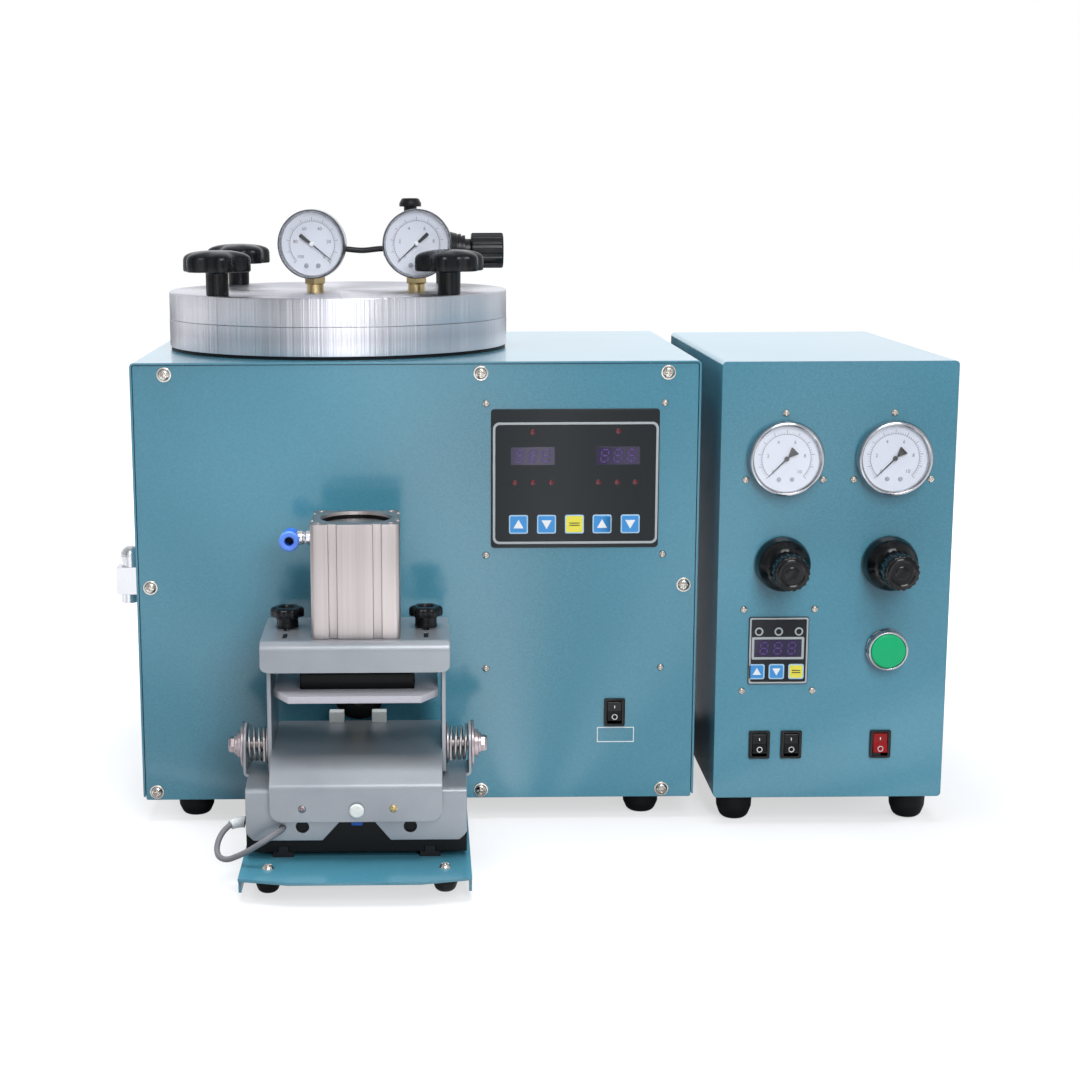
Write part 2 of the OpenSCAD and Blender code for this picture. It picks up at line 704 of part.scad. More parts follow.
module pot_lid() color(silver) place() translate([-lid_left, lid_back, lid_z]) difference() {
  cylinder(h = lid_t, d = lid_d);
  for (a = stud_angles) translate([stud_ring * cos(a), stud_ring * sin(a), -1])
    cylinder(h = lid_t + 2, d = stud_d + 1);
  // groove of the sealing ring
  translate([0, 0, -1]) rotate_extrude() translate([pot_bore / 2 + 3, 0]) square([5, 4]);
  for (sx = [-1, 1])
    translate([gauge_mid_x + lid_left + sx * lid_gauge_gap / 2, lid_gauge_y - lid_back, 8])
      cylinder(h = lid_t, d = 8.2);
  translate([regulator_x + regulator_stem_x + lid_left, regulator_y - lid_back, 8])
    cylinder(h = lid_t, d = 8.2);
}

// Each lid gauge is turned a little about its stem: x, turn and the pointer's angle
gauge_turns = [-10, 3];
function gauge_x(i) = gauge_mid_x + (i - 0.5) * lid_gauge_gap;

module lid_gauges() color(silver) place()
  for (i = [0, 1]) translate([gauge_x(i), lid_gauge_y, 0]) rotate([0, 0, gauge_turns[i]]) {
    difference() {
      union() {
        translate([0, -13, gauge_z]) bar_y(lid_gauge_d, 9);
        translate([0, -4.1, gauge_z]) bar_y(lid_gauge_d - 6, lid_gauge_t - 8.9);
      }
      translate([0, -14, gauge_z]) bar_y(lid_gauge_d - 4, 6);
      translate([0, -13, gauge_z]) bar_y(3.1, 12);
    }
    translate([0, 0, lid_top])
      cylinder(h = lid_gauge_z - lid_gauge_d / 2 + 2, d = stem_af / cos(30), $fn = 6);
    translate([0, 0, lid_top - 12]) cylinder(h = 12.1, d = 8);
  }

module vacuum_pointer() color(black) place() translate([gauge_x(0), lid_gauge_y, gauge_z])
  rotate([0, 0, gauge_turns[0]]) translate([0, -13 + 4.6, 0]) pointer(19, 322);
module pressure_pointer() color(black) place() translate([gauge_x(1), lid_gauge_y, gauge_z])
  rotate([0, 0, gauge_turns[1]]) translate([0, -13 + 4.6, 0]) pointer(19, 222);

module lid_regulator() color(black) place() translate([regulator_x, regulator_y, regulator_z]) difference() {
  union() {
    translate([-20, 0, 0]) bar_x(30, 36);
    translate([-14, -14, -16]) cube([26, 28, 32]);
    translate([15.9, 0, 0]) bar_x(36, 4);
    translate([19.8, 0, 0]) bar_x(18, 18);
    translate([regulator_stem_x, 0, -30]) cylinder(h = 15, d = 13);
    translate([regulator_stem_x, 0, -42]) cylinder(h = 12.1, d = 8);
    // relief valve with its round cap
    translate([-9, 0, 15.9]) cylinder(h = 18, d = 10);
    translate([-9, 0, 33.8]) intersection() {
      cylinder(h = 6.5, d = 17);
      translate([0, 0, -4]) sphere(10.5);
    }
    // port for the hose
    translate([-30, 0, 2]) bar_x(12, 12);
  }
  translate([25, 0, 0]) bar_x(6.1, 14);
  translate([-31, 0, 2]) bar_x(4.1, 8);
}

module vacuum_knob() color(black) place() translate([regulator_x, regulator_y, regulator_z]) {
  difference() {
    translate([37.9, 0, 0]) bar_x(27, 25);
    for (a = [0 : 30 : 330])
      translate([40, 14.4 * cos(a), 14.4 * sin(a)]) bar_x(2.6, 26);
  }
  translate([27, 0, 0]) bar_x(6, 12);
}

// Black hose between the two fittings behind the gauges
module lid_hose() color(black) place() translate([0, regulator_y, 0]) {
  x0 = gauge_x(0) + 8;
  translate([x0, 0, regulator_z + 2]) bar_x(4, regulator_x - 25 - x0);
  translate([x0 - 7, 0, regulator_z + 2]) bar_x(11, 10);
  translate([gauge_x(0) + hose_post_x, 0, lid_top]) cylinder(h = 36, d = 11);
}

// ---- Star knobs ----

module star_knob(i) translate([-lid_left, lid_back, 0]) rotate([0, 0, stud_angles[i]])
translate([stud_ring, 0, 0]) {
  r = star_d / 2;
  lobe_d = 15;
  translate([0, 0, lid_top + star_neck_h]) intersection() {
    linear_extrude(star_h) {
      circle(r - 4.5);
      for (a = [0 : 60 : 300]) rotate(a) translate([r - lobe_d / 2, 0]) circle(lobe_d / 2);
    }
    rotate_extrude() polygon([[0, 0], [r - 2, 0], [r + 0.1, 2.1], [r + 0.1, star_h - 6.5],
      [r - 1.5, star_h - 4], [r - 5, star_h - 2.2], [r - 12, star_h - 0.6], [0, star_h]]);
  }
  translate([0, 0, lid_top]) cylinder(h = star_neck_h + 1, d = star_neck_d);
  translate([0, 0, flange_z + 6]) cylinder(h = lid_top - flange_z - 5, d = stud_d);
}

module star_knob_1() color(black) place() star_knob(0);
module star_knob_2() color(black) place() star_knob(1);
module star_knob_3() color(black) place() star_knob(2);
module star_knob_4() color(black) place() star_knob(3);

// ---- Clamp ----

module clamp_base() color(teal) place() translate([cx, 0, 0]) difference() {
  union() {
    translate([0, 0, foot_h - plate_t]) linear_extrude(plate_t)
      polygon([[-base_w / 2, 44], [-base_w / 2, 8 - base_front], [34 - base_w / 2, -base_front],
        [base_w / 2 - 34, -base_front], [base_w / 2, 8 - base_front], [base_w / 2, 44]]);
    for (sx = [-1, 1]) translate([sx * (base_w / 2 - plate_t / 2) - plate_t / 2, 12 - base_front, 5])
      cube([plate_t, base_front + 32, foot_h - 5 - plate_t + 0.1]);
  }
  for (p = clamp_feet()) translate([p[0] - cx, p[1], 0]) cylinder(h = 40, d = screw_hole);
}

// Two rails and the fixed rod that the carriage's cylinder rides on
module guide_rails() color(silver) place() translate([cx, 0, 0]) {
  rail_front = block_front + 0.5;
  rail_l = rod_end - rail_front;
  for (sx = [-1, 1]) {
    translate([sx * rail_x - rail_foot_w / 2, rail_front, foot_h]) cube([rail_foot_w, rail_l, 3.5]);
    translate([sx * rail_x - rail_w / 2, rail_front, foot_h + 3.4]) cube([rail_w, rail_l, 4.3]);
  }
  translate([-24, rod_end, foot_h]) cube([48, 8, 36]);
  translate([0, piston_y + 2, slide_rod_z]) bar_y(slide_rod_d, rod_end - piston_y - 1);
  translate([0, piston_y, slide_rod_z]) bar_y(piston_d, 8);
}

module carriage_block() color(black) place() translate([cx, 0, 0]) difference() {
  len = block_back - block_front;
  translate([-block_w / 2, block_front, block_low]) cube([block_w, len, block_top - block_low]);
  slot_w = rail_w + 0.8;
  for (sx = [-1, 1])
    translate([sx * rail_x - slot_w / 2, block_front - 1, block_low - 1]) cube([slot_w, len + 2, 5]);
  translate([0, block_front + 12, slide_rod_z]) bar_y(piston_d + 0.2, 64);
  translate([0, block_front + 12, slide_rod_z]) bar_y(slide_rod_d + 0.2, len);
}

// Grey folded sheet over the block: front apron, shelf and the two arms of the pivot
module yoke() color(grey) place() translate([cx, 0, 0]) difference() {
  arm_in = arm_x - arm_t;
  union() {
    translate([-arm_x, -115, shelf_z - plate_t]) cube([2 * arm_x, 75, plate_t]);
    translate([-yoke_half, shelf_front, shelf_z - plate_t]) cube([2 * yoke_half, 20, plate_t]);
    translate([0, shelf_front, 0]) wall_y(plate_t) difference() {
      polygon([[-yoke_half, yoke_low + 4.6], [5 - yoke_half, yoke_low], [yoke_half - 5, yoke_low],
        [yoke_half, yoke_low + 4.6], [yoke_half, shelf_z - 0.5], [-yoke_half, shelf_z - 0.5]]);
      polygon([[-25, yoke_low - 1], [-12, 41.3], [-12, 60], [13, 60], [13, 41.3], [25, yoke_low - 1]]);
      for (sx = [-1, 1]) translate([sx * 36.6, 38.6]) circle(4.5);
      translate([cable_end_x - cx, cable_end_z]) circle(cable_d / 2 + 0.3);
    }
    for (sx = [-1, 1]) translate([sx * (arm_x - arm_t / 2) - arm_t / 2, 0, 0]) wall_x(arm_t) {
      translate([-pivot_y, pivot_z]) circle(washer_d / 2 - 0.5);
      translate([-pivot_y - washer_d / 2 + 0.5, shelf_z - plate_t])
        square([washer_d - 1, pivot_z - shelf_z + plate_t]);
    }
  }
  translate([-arm_x - 1, -pivot_y, pivot_z]) bar_x(pivot_d + 0.1, 2 * arm_x + 2);
}

// Bolts along X with their heads, stepped nuts and wide washers
module pivot_bolts() color(silver) place() translate([cx, -pivot_y, pivot_z])
  for (s = [0, 1]) mirror([s, 0, 0]) {
    inner = side_in;
    translate([inner, 0, 0]) bar_x(pivot_d, arm_x - inner + 3);
    translate([arm_x + 0.05, 0, 0]) bar_x(washer_d, washer_t);
    translate([arm_x + washer_t, 0, 0]) bar_x(19, 3);
    translate([arm_x + washer_t + 2.9, 0, 0]) bar_x(15, 2);
    translate([arm_x + washer_t + 4.8, 0, 0]) rotate([0, 90, 0]) cylinder(h = 4.5, d = 10 / cos(30), $fn = 6);
    translate([side_in + side_t + 0.3, 0, 0]) bar_x(washer_d - 4, inner_washer_t);
  }

// Torsion springs round the bolts, each one wire with a leg at either end
module pivot_springs() color(silver) place() translate([cx, -pivot_y, pivot_z])
  for (s = [0, 1]) mirror([s, 0, 0]) {
    outer = arm_x - arm_t - 0.3 - wire_d / 2;
    inner = side_in + side_t + inner_washer_t + 0.6 + wire_d / 2;
    turns = spring_turns + 0.25;
    translate([outer, 0, 0]) coil((spring_d - wire_d) / 2, (inner - outer) / turns, turns);
  }

// Points of one coil, round X from the top at turn 0, on a circle with radius r
function coil_angle(t) = 90 + t * 360;
function coil_point(t, r, pitch) = [t * pitch, r * cos(coil_angle(t)), r * sin(coil_angle(t))];

// A wire wound in 8 rings a turn, which measures its least gap to itself
module coil(r, pitch, turns) {
  steps = 8 * turns;
  leg = 9;
  path = [for (i = [0 : steps]) coil_point(i / 8, r, pitch)];
  least = min([for (i = [0 : steps - 8]) norm(path[i + 8] - path[i]) - wire_d]);
  echo(least_gap_between_turns = least);
  helix = [for (i = [0 : steps]) ring_at(path[i], coil_angle(i / 8), wire_d / 2)];
  first = [for (p = helix[0]) p + [0, leg, 0]];
  last = [for (p = helix[steps]) p + leg * [0, -sin(coil_angle(turns)), cos(coil_angle(turns))]];
  sweep_rings(concat([first], helix, [last]), 6);
}

// A ring of 6 points round a helix point, in the plane of the axis and the radius
function ring_at(p, a, r) = [for (k = [0 : 5])
  p + r * [sin(k * 60), cos(k * 60) * cos(a), cos(k * 60) * sin(a)]];

// One closed tube through rings that all have n points
module sweep_rings(rings, n) {
  m = len(rings);
  points = [for (ring = rings) each ring];
  sides = [for (i = [0 : m - 2], k = [0 : n - 1]) each [
    [i * n + k, i * n + (k + 1) % n, (i + 1) * n + (k + 1) % n],
    [i * n + k, (i + 1) * n + (k + 1) % n, (i + 1) * n + k]]];
  caps = [for (k = [1 : n - 2]) each [[0, k + 1, k], [(m - 1) * n, (m - 1) * n + k, (m - 1) * n + k + 1]]];
  polyhedron(points = points, faces = concat(sides, caps));
}

module mould_tray() color(grey) place() translate([cx, 0, 0]) difference() {
  w = tray_w;
  union() {
    translate([-w / 2, 0, 0]) wall_x(w)
      polygon([[tray_back, tray_z], [tray_bend, tray_z], [apron_y, ramp_z + 3],
      [apron_y, ramp_z - 4], [apron_y + plate_t, ramp_z - 4], [apron_y + plate_t, ramp_z + 2.2],
      [tray_bend + 0.8, tray_z - plate_t], [tray_back, tray_z - plate_t]]);
    translate([0, apron_y, 0]) wall_y(plate_t) translate([0, (apron_foot + ramp_z) / 2])
      rounded(w, ramp_z - apron_foot, 8);
    translate([0, apron_y, 0]) wall_y(plate_t) translate([-w / 2, ramp_z - 12]) square([w, 12]);
    for (s = [0, 1]) mirror([s, 0, 0]) translate([side_in - 0.31, 0, 0]) wall_x(side_t)
      polygon([[-side_front, 68], [20 - pivot_y, 68], [side_back, 76], [side_back, side_top],
        [-side_front + 6, side_top], [-side_front, side_top - 30]]);
    for (s = [0, 1]) mirror([s, 0, 0])
      translate([knob_x - 9, -side_front + 8, side_top - 3])
        cube([side_in - knob_x + 9, side_front + side_back - 8, 3]);
  }
  for (s = [0, 1]) mirror([s, 0, 0]) {
    translate([side_in - 2, -pivot_y, pivot_z]) bar_x(pivot_d + 0.1, 10);
    translate([knob_x, knob_y, side_top - 5]) cylinder(h = 10, d = knob_screw_d + 0.1);
  }
  translate([0.5, apron_y - 1, 52]) bar_y(8.2, 10);
}

module mould_stops() color(white) place() translate([nozzle_x, tray_back - 6, tray_z])
  for (sx = [-1, 1]) translate([sx * 15.4 - 5.3, 0, 0]) cube([10.6, 8, 8]);

module clamp_button() color(white) place() translate([cx + 0.5, apron_y, 52]) {
  translate([0, -3.4, 0]) bar_y(10, 1.9);
  translate([0, -1.6, 0]) bar_y(8, 1.1);
  translate([0, -0.6, 0]) bar_y(8, 2.6);
}

module top_beam() color(grey) place() translate([cx, 0, 0]) difference() {
  union() {
    translate([-beam_w / 2, beam_front, beam_z - plate_t]) cube([beam_w, beam_back - beam_front, plate_t]);
    translate([0, beam_front, 0]) wall_y(plate_t) translate([0, (lip_z + beam_z) / 2])
      rounded(beam_w, beam_z - lip_z, 5);
    translate([0, beam_front, 0]) wall_y(plate_t) translate([-beam_w / 2, beam_z - 8]) square([beam_w, 8]);
  }
  for (sx = [-1, 1]) translate([sx * knob_x, knob_y - slot_ahead, beam_z - plate_t - 1]) {
    slot_w = knob_screw_d + 0.4;
    slot_l = slot_ahead + slot_behind;
    translate([-slot_w / 2, 0, 0]) cube([slot_w, slot_l, plate_t + 2]);
    for (y = [0, slot_l]) translate([0, y, 0]) cylinder(h = plate_t + 2, d = slot_w);
    translate([0, beam_hole_y - knob_y + slot_ahead, 0]) {
      translate([-beam_hole_w / 2, -beam_hole_l / 2, 0]) cube([beam_hole_w, beam_hole_l, plate_t + 2]);
      for (sy = [-1, 1]) translate([0, sy * beam_hole_l / 2, 0]) cylinder(h = plate_t + 2, d = beam_hole_w);
    }
  }
  translate([0, cyl_y, beam_z - plate_t - 1]) cylinder(h = plate_t + 2, d = rod_d + 8);
}

module air_cylinder() color(silver) place() translate([cx + 0.5, cyl_y, beam_z]) difference() {
  linear_extrude(cyl_h) difference() {
    rounded(cyl_w, cyl_w, cyl_corner);
    for (a = [0 : 90 : 270], s = [-1, 1]) rotate(a)
      translate([s * groove_x - groove_w / 2, cyl_w / 2 - groove_t]) square([groove_w, groove_t + 1]);
  }
  translate([0, 0, cyl_h - 5]) cylinder(h = 6, d = bore_d - 1.6);
  translate([0, 0, -1]) cylinder(h = cyl_h - 14, d = rod_d + 0.1);
  translate([0, 0, 8]) cylinder(h = cyl_h - 22, d = bore_d + 0.2);
  translate([-cyl_w / 2 - 1, 24, cyl_h - 18]) bar_x(8.2, 8);
}

module beam_knob(s) translate([cx + s * knob_x, knob_y, beam_z]) {
  translate([0, 0, knob_neck_h]) difference() {
    cylinder(h = knob_head_h, d = knob_head_d);
    for (a = [0 : 60 : 300]) rotate([0, 0, a]) translate([knob_head_d / 2 + 1.6, 0, -1])
      cylinder(h = knob_head_h + 2, d = 5.6);
    translate([0, 0, knob_head_h - 1.2]) cylinder(h = 2, d = knob_head_d - 8);
  }
  translate([0, 0, 0.05]) cylinder(h = knob_neck_h, d = knob_neck_d);
  translate([0, 0, -9]) cylinder(h = 9.1, d = knob_screw_d);
}
module beam_knob_1() color(black) place() beam_knob(-1);
module beam_knob_2() color(black) place() beam_knob(1);

module press_plate() color(silver) place() translate([cx, 0, 0]) {
  translate([0, 0, press_low]) linear_extrude(press_t) polygon([[-57, -50], [-57, -95], [-46, -115],
    [44.5, -115], [56, -97], [56, -50]]);
  translate([0.5 - press_block_w / 2, cyl_y - press_block_l / 2, press_low + press_t - 0.05])
    cube([press_block_w, press_block_l, press_block_h]);
  translate([0.5, cyl_y, press_low + press_t - 0.1])
    cylinder(h = beam_z + 40 - press_low - press_t, d = rod_d);
  translate([0.5, cyl_y, beam_z + 39.5]) cylinder(h = 8, d = 50);
}

module elbow_fitting() color("blue") place()
  translate([cx + 0.5 - cyl_w / 2, cyl_y + 24, beam_z + cyl_h - 18]) difference() {
  union() {
    translate([-4, 0, 0]) bar_x(8, 10);
    translate([-9, 0, 0]) bar_x(10.4, 8.7);
    translate([-elbow_out - 6, -6, -6]) cube([elbow_out - 2.5, 12, 12]);
    translate([-elbow_out, -15, 0]) bar_y(11.6, 10);
    translate([-elbow_out, -elbow_ahead, 0]) bar_y(14, elbow_ahead - 14.5);
  }
  translate([-elbow_out, -elbow_ahead - 1, 0]) bar_y(tube_d + 0.1, 16);
}

// A tube swept through points with rings square to the way it runs
function unit(v) = v / norm(v);
function direction(path, i) = unit(path[min(i + 1, len(path) - 1)] - path[max(i - 1, 0)]);
function side_of(d) = unit(cross(d, abs(d[2]) > 0.9 ? [0, 1, 0] : [0, 0, 1]));
function tube_ring(p, d, r, n) = let (s = side_of(d), u = cross(s, d))
  [for (k = [0 : n - 1]) p + r * (cos(k * 360 / n) * s + sin(k * 360 / n) * u)];

module button_cable() color(grey) place() {
  rings = [for (i = [0 : len(cable_route) - 1])
    tube_ring(cable_route[i], direction(cable_route, i), cable_d / 2, 8)];
  sweep_rings(rings, 8);
}

base_pan();
case_cover();
front_panel();
rubber_feet();
panel_screws();
pot_gasket();
pot_flange();
wax_pot();
heater_band();
nozzle_block();
nozzle_tip();
vacuum_pump();
control_board();
controller_panel();
switch_frames();
drain_tap();
mains_inlet();
clamp_base();
guide_rails();
box_cover();
box_chassis();
panel_gauges();
panel_regulators();
counter_panel();
start_bezel();
valve_block();
pot_lid();
lid_gauges();
lid_regulator();
lid_hose();
star_knob_1();
star_knob_2();
star_knob_3();
star_knob_4();
vacuum_knob();
vacuum_pointer();
pressure_pointer();
forward_pointer();
clamp_pointer();
main_rocker();
forward_rocker();
clamp_rocker();
power_rocker();
start_button();
clamp_button();
forward_knob();
clamp_knob();
carriage_block();
yoke();
pivot_bolts();
button_cable();
mould_tray();
mould_stops();
pivot_springs();
top_beam();
air_cylinder();
beam_knob_1();
beam_knob_2();
press_plate();
elbow_fitting();
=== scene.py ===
import math

import bmesh
import bpy
import numpy as np
from mathutils import Matrix


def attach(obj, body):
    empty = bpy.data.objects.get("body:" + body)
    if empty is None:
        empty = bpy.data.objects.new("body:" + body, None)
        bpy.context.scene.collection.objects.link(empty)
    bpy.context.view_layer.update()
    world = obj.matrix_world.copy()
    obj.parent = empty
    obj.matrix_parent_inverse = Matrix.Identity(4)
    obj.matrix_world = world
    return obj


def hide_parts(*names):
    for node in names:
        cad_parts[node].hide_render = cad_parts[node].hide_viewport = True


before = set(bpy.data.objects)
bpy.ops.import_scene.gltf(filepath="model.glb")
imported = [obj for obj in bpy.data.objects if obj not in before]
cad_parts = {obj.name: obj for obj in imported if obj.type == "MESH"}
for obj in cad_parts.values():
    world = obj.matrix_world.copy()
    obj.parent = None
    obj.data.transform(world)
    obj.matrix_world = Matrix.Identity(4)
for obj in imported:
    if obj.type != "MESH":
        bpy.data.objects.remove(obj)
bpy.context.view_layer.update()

# ---- Camera ----
# The photograph is taken from 1.4 m in front of the case, a little left of the model's
# middle and a little above the lid, looking slightly down through a lens of about 64 mm.
FRAME_PX = 1080
LENS_PX = 1916
MIDDLE_PX = (442, 550)
CAMERA_AT = (-0.075, -1.4345, 0.463)
LOOKS_DOWN = math.radians(10.65)
LOOKS_RIGHT = math.radians(0.59)
LEANS = math.radians(0.23)
camera = bpy.data.objects.new("photo_camera", bpy.data.cameras.new("photo_camera"))
camera.data.sensor_width = 36
camera.data.lens = LENS_PX / FRAME_PX * camera.data.sensor_width
camera.data.shift_x = (FRAME_PX / 2 - MIDDLE_PX[0]) / FRAME_PX
camera.data.shift_y = (MIDDLE_PX[1] - FRAME_PX / 2) / FRAME_PX
turned_camera = (Matrix.Rotation(-LOOKS_RIGHT, 3, "Z")
                 @ Matrix.Rotation(math.pi / 2 - LOOKS_DOWN, 3, "X")
                 @ Matrix.Rotation(-LEANS, 3, "Z"))
camera.matrix_world = Matrix.Translation(CAMERA_AT) @ turned_camera.to_4x4()
bpy.context.scene.collection.objects.link(camera)
bpy.context.scene.camera = camera
bpy.context.scene.view_settings.view_transform = "Standard"


# ---- Floor, backdrop and lamps ----
# A pale studio table that runs into a white backdrop, under a large soft lamp overhead and
# smaller ones high and low in front, at both sides and behind.
def colour(code):
    """The linear colour of an sRGB hex value, with alpha 1."""
    channels = np.array([int(code[i:i + 2], 16) for i in (1, 3, 5)]) / 255
    linear = np.where(channels <= 0.04045, channels / 12.92, ((channels + 0.055) / 1.055) ** 2.4)
    return (*linear.tolist(), 1.0)


def feed(tree, node, inputs):
    """Sets a node's inputs: each is a value, or another node's output that is linked to it."""
    for key, value in inputs.items():
        if isinstance(value, bpy.types.NodeSocket):
            tree.links.new(value, node.inputs[key])
        else:
            node.inputs[key].default_value = value


def add(tree, kind, inputs=None, **settings):
    """Adds a shader node with its inputs and settings, and gives its outputs."""
    node = tree.nodes.new("ShaderNode" + kind)
    for key, value in settings.items():
        setattr(node, key, value)
    feed(tree, node, inputs or {})
    return node.outputs


def reckon(tree, operation, *values, kind="Math"):
    """The result of a math node or, with the kind "VectorMath", of a vector one."""
    return add(tree, kind, dict(enumerate(values)), operation=operation)[0]


def ranged(tree, value, low, high, out_low=0.0, out_high=1.0):
    """A value carried from low..high to out_low..out_high, and held at both ends."""
    return add(tree, "MapRange", {"Value": value, "From Min": low, "From Max": high,
                                  "To Min": out_low, "To Max": out_high})[0]


def noise(tree, where, scale, detail=2.0, rough=0.5):
    """Cloudy noise from 0 to 1, with about so many spots to a unit of the place."""
    return add(tree, "TexNoise", {"Vector": where, "Scale": scale, "Detail": detail,
                                  "Roughness": rough})["Fac"]


def room_bands(tree, way):
    """What polished metal mirrors along a direction: windows, walls and a tall lamp in front
    make bright and dark upright bands of uneven width. Also how far the way points behind."""
    flat = reckon(tree, "MULTIPLY", way, (1, 1, 0), kind="VectorMath")
    around = reckon(tree, "NORMALIZE", flat, kind="VectorMath")
    side = add(tree, "SeparateXYZ", {0: around})
    bands = ranged(tree, noise(tree, around, 5.2, 3.0), 0.44, 0.56, 0.26, 1.1)
    lamp_band = ranged(tree, reckon(tree, "ABSOLUTE", side["X"]), 0.04, 0.11, 1.4, 0.0)
    return reckon(tree, "ADD", bands, lamp_band), ranged(tree, side["Y"], 0.55, 0.9)


FLOOR_HALF, FLOOR_Z = 9.0, -0.0004
floor_material = bpy.data.materials.new("matt_white_laminate")
floor_material.use_nodes = True
tree = floor_material.node_tree
tree.nodes.clear()
floor_ray = add(tree, "LightPath")
floor_at = add(tree, "TexCoord")["Object"]
far_off = add(tree, "VectorMath", {0: floor_at}, operation="LENGTH")["Value"]
white_far_off = ranged(tree, far_off, 0.35, 0.95, 0.62, 1.0)
floor_lit, floor_behind = room_bands(tree, floor_at)
# Painted shade on the floor's glow to reflections: it drops to little inside the units' footprint, so
# the gaps between them look shaded.
floor_spot = add(tree, "SeparateXYZ", {0: floor_at})
beside = reckon(tree, "ABSOLUTE", floor_spot["X"])
ahead = reckon(tree, "SUBTRACT", 0.2, floor_spot["Y"])
outside_painted_shade = ranged(tree, reckon(tree, "MAXIMUM", beside, ahead), 0.29, 0.36, 0.04, 1.0)
# Behind the case the floor's glow to reflections is painted dark, as shade.
floor_bands_painted_dark_behind = add(tree, "Mix", {"Factor": floor_behind, 2: floor_lit, 3: 0.0})[0]
mirrored_floor = reckon(tree, "MULTIPLY", floor_bands_painted_dark_behind, outside_painted_shade)
floor_to_eye = reckon(tree, "MULTIPLY", floor_ray["Is Camera Ray"], white_far_off)
floor_glow = reckon(tree, "MULTIPLY_ADD", floor_ray["Is Glossy Ray"], mirrored_floor, floor_to_eye)
floor_shade = add(tree, "BsdfDiffuse", {"Color": colour("#96989c")})[0]
floor_light = add(tree, "Emission", {"Strength": floor_glow})[0]
add(tree, "OutputMaterial", {"Surface": add(tree, "AddShader", {0: floor_shade, 1: floor_light})[0]})
floor_mesh = bpy.data.meshes.new("floor")
floor_mesh.from_pydata([(x * FLOOR_HALF, y * FLOOR_HALF, FLOOR_Z)
                        for x, y in ((-1, -1), (1, -1), (1, 1), (-1, 1))], [], [(0, 1, 2, 3)])
floor_mesh.materials.append(floor_material)
floor = bpy.data.objects.new("floor", floor_mesh)
bpy.context.scene.collection.objects.link(floor)

world = bpy.data.worlds.new("white_studio")
world.use_nodes = True
bpy.context.scene.world = world
tree = world.node_tree
tree.nodes.clear()
ray = add(tree, "LightPath")
way = add(tree, "TexCoord")["Generated"]
room_lit, room_behind = room_bands(tree, way)
dim_above = ranged(tree, add(tree, "SeparateXYZ", {0: way})["Z"], 0.3, 0.8, 1.0, 0.8)
room = add(tree, "Mix", {"Factor": room_behind, 2: room_lit, 3: 1.1})[0]
room_strength = reckon(tree, "MULTIPLY", room, dim_above)
plain_light, room_light, white = (
    add(tree, "Background", {"Color": colour(code), "Strength": strength})[0]
    for code, strength in (("#eef3fb", 0.08), ("#f6f8fc", room_strength), ("#ffffff", 1.0)))
to_eye = reckon(tree, "MAXIMUM", ray["Is Camera Ray"], ray["Is Transmission Ray"])
by_mirror = add(tree, "MixShader", {0: ray["Is Glossy Ray"], 1: plain_light, 2: room_light})[0]
add(tree, "OutputWorld", {"Surface": add(tree, "MixShader", {0: to_eye, 1: by_mirror, 2: white})[0]})

AIMED_AT = (0, 0, 0.2)
for lamp_name, lamp_at, lamp_size, watts, mirrored_too in (
        ("overhead_softbox", (-0.1, 0.0, 2.0), 1.2, 40, False),
        ("high_softbox", (0.4, -1.75, 1.8), 1.0, 26, True),
        ("left_softbox", (-2.2, 0.25, 1.1), 0.9, 26, False),
        ("right_softbox", (2.3, 0.25, 1.1), 0.9, 26, False),
        ("back_softbox", (-1.4, 2.2, 1.3), 0.9, 28, False),
        ("front_softbox", (0.6, -2.6, 1.15), 0.8, 29, False)):
    lamp_data = bpy.data.lights.new(lamp_name, "AREA")
    lamp_data.shape = "SQUARE"
    lamp_data.size = lamp_size
    lamp_data.energy = watts
    lamp = bpy.data.objects.new(lamp_name, lamp_data)
    lamp.matrix_world = Matrix.Translation(lamp_at)
    lamp.visible_glossy = mirrored_too
    aim = Matrix.Translation(AIMED_AT).translation - lamp.matrix_world.translation
    lamp.rotation_euler = aim.to_track_quat("-Z", "Y").to_euler()
    bpy.context.scene.collection.objects.link(lamp)


# ---- Main case and control box: painted sheet steel ----
# Folded 1.5 and 2 mm steel, sprayed with a blue green satin paint whose fine grain scatters
# small lights. The cover wraps round the pan, and the front panels drop in between its edges.
def blank(name):
    """A new material with its node tree and, for its textures, the place in metres."""
    material = bpy.data.materials.new(name)
    material.use_nodes = True
    return material, material.node_tree, add(material.node_tree, "TexCoord")["Object"]


def finished(material, inputs):
    """The material, after its shader's inputs are set or linked."""
    feed(material.node_tree, material.node_tree.nodes["Principled BSDF"], inputs)
    return material


def speckled(tree, code, value, low, high, lift):
    """A colour made darker and lighter by the share lift as the value goes from low to high."""
    tone = ranged(tree, value, low, high, 1 - lift, 1 + lift)
    return add(tree, "VectorMath", {0: colour(code)[:3], "Scale": tone}, operation="SCALE")[0]


def dented(tree, grain, strength, deep, under):
    """A normal with dents as the grain says, over the normal under them or, where that is a
    number, over edges that look rounded by it."""
    if isinstance(under, float):
        under = add(tree, "Bevel", {"Radius": under}, samples=4)[0]
    return add(tree, "Bump", {"Height": grain, "Strength": strength, "Distance": deep,
                              "Normal": under})[0]


def dress(material, *names):
    """Gives CAD nodes their material, and shades their round faces smooth up to 30 degrees."""
    for name in names:
        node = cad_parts[name]
        if not node.material_slots:
            node.data.materials.append(material)
        for place in node.material_slots:
            place.material = material
        node.data.polygons.foreach_set("use_smooth", np.ones(len(node.data.polygons), bool))
        weld = node.modifiers.new("weld", "WELD")
        weld.merge_threshold = 1e-6
        split = node.modifiers.new("sharp_edges", "EDGE_SPLIT")
        split.split_angle = math.radians(30)


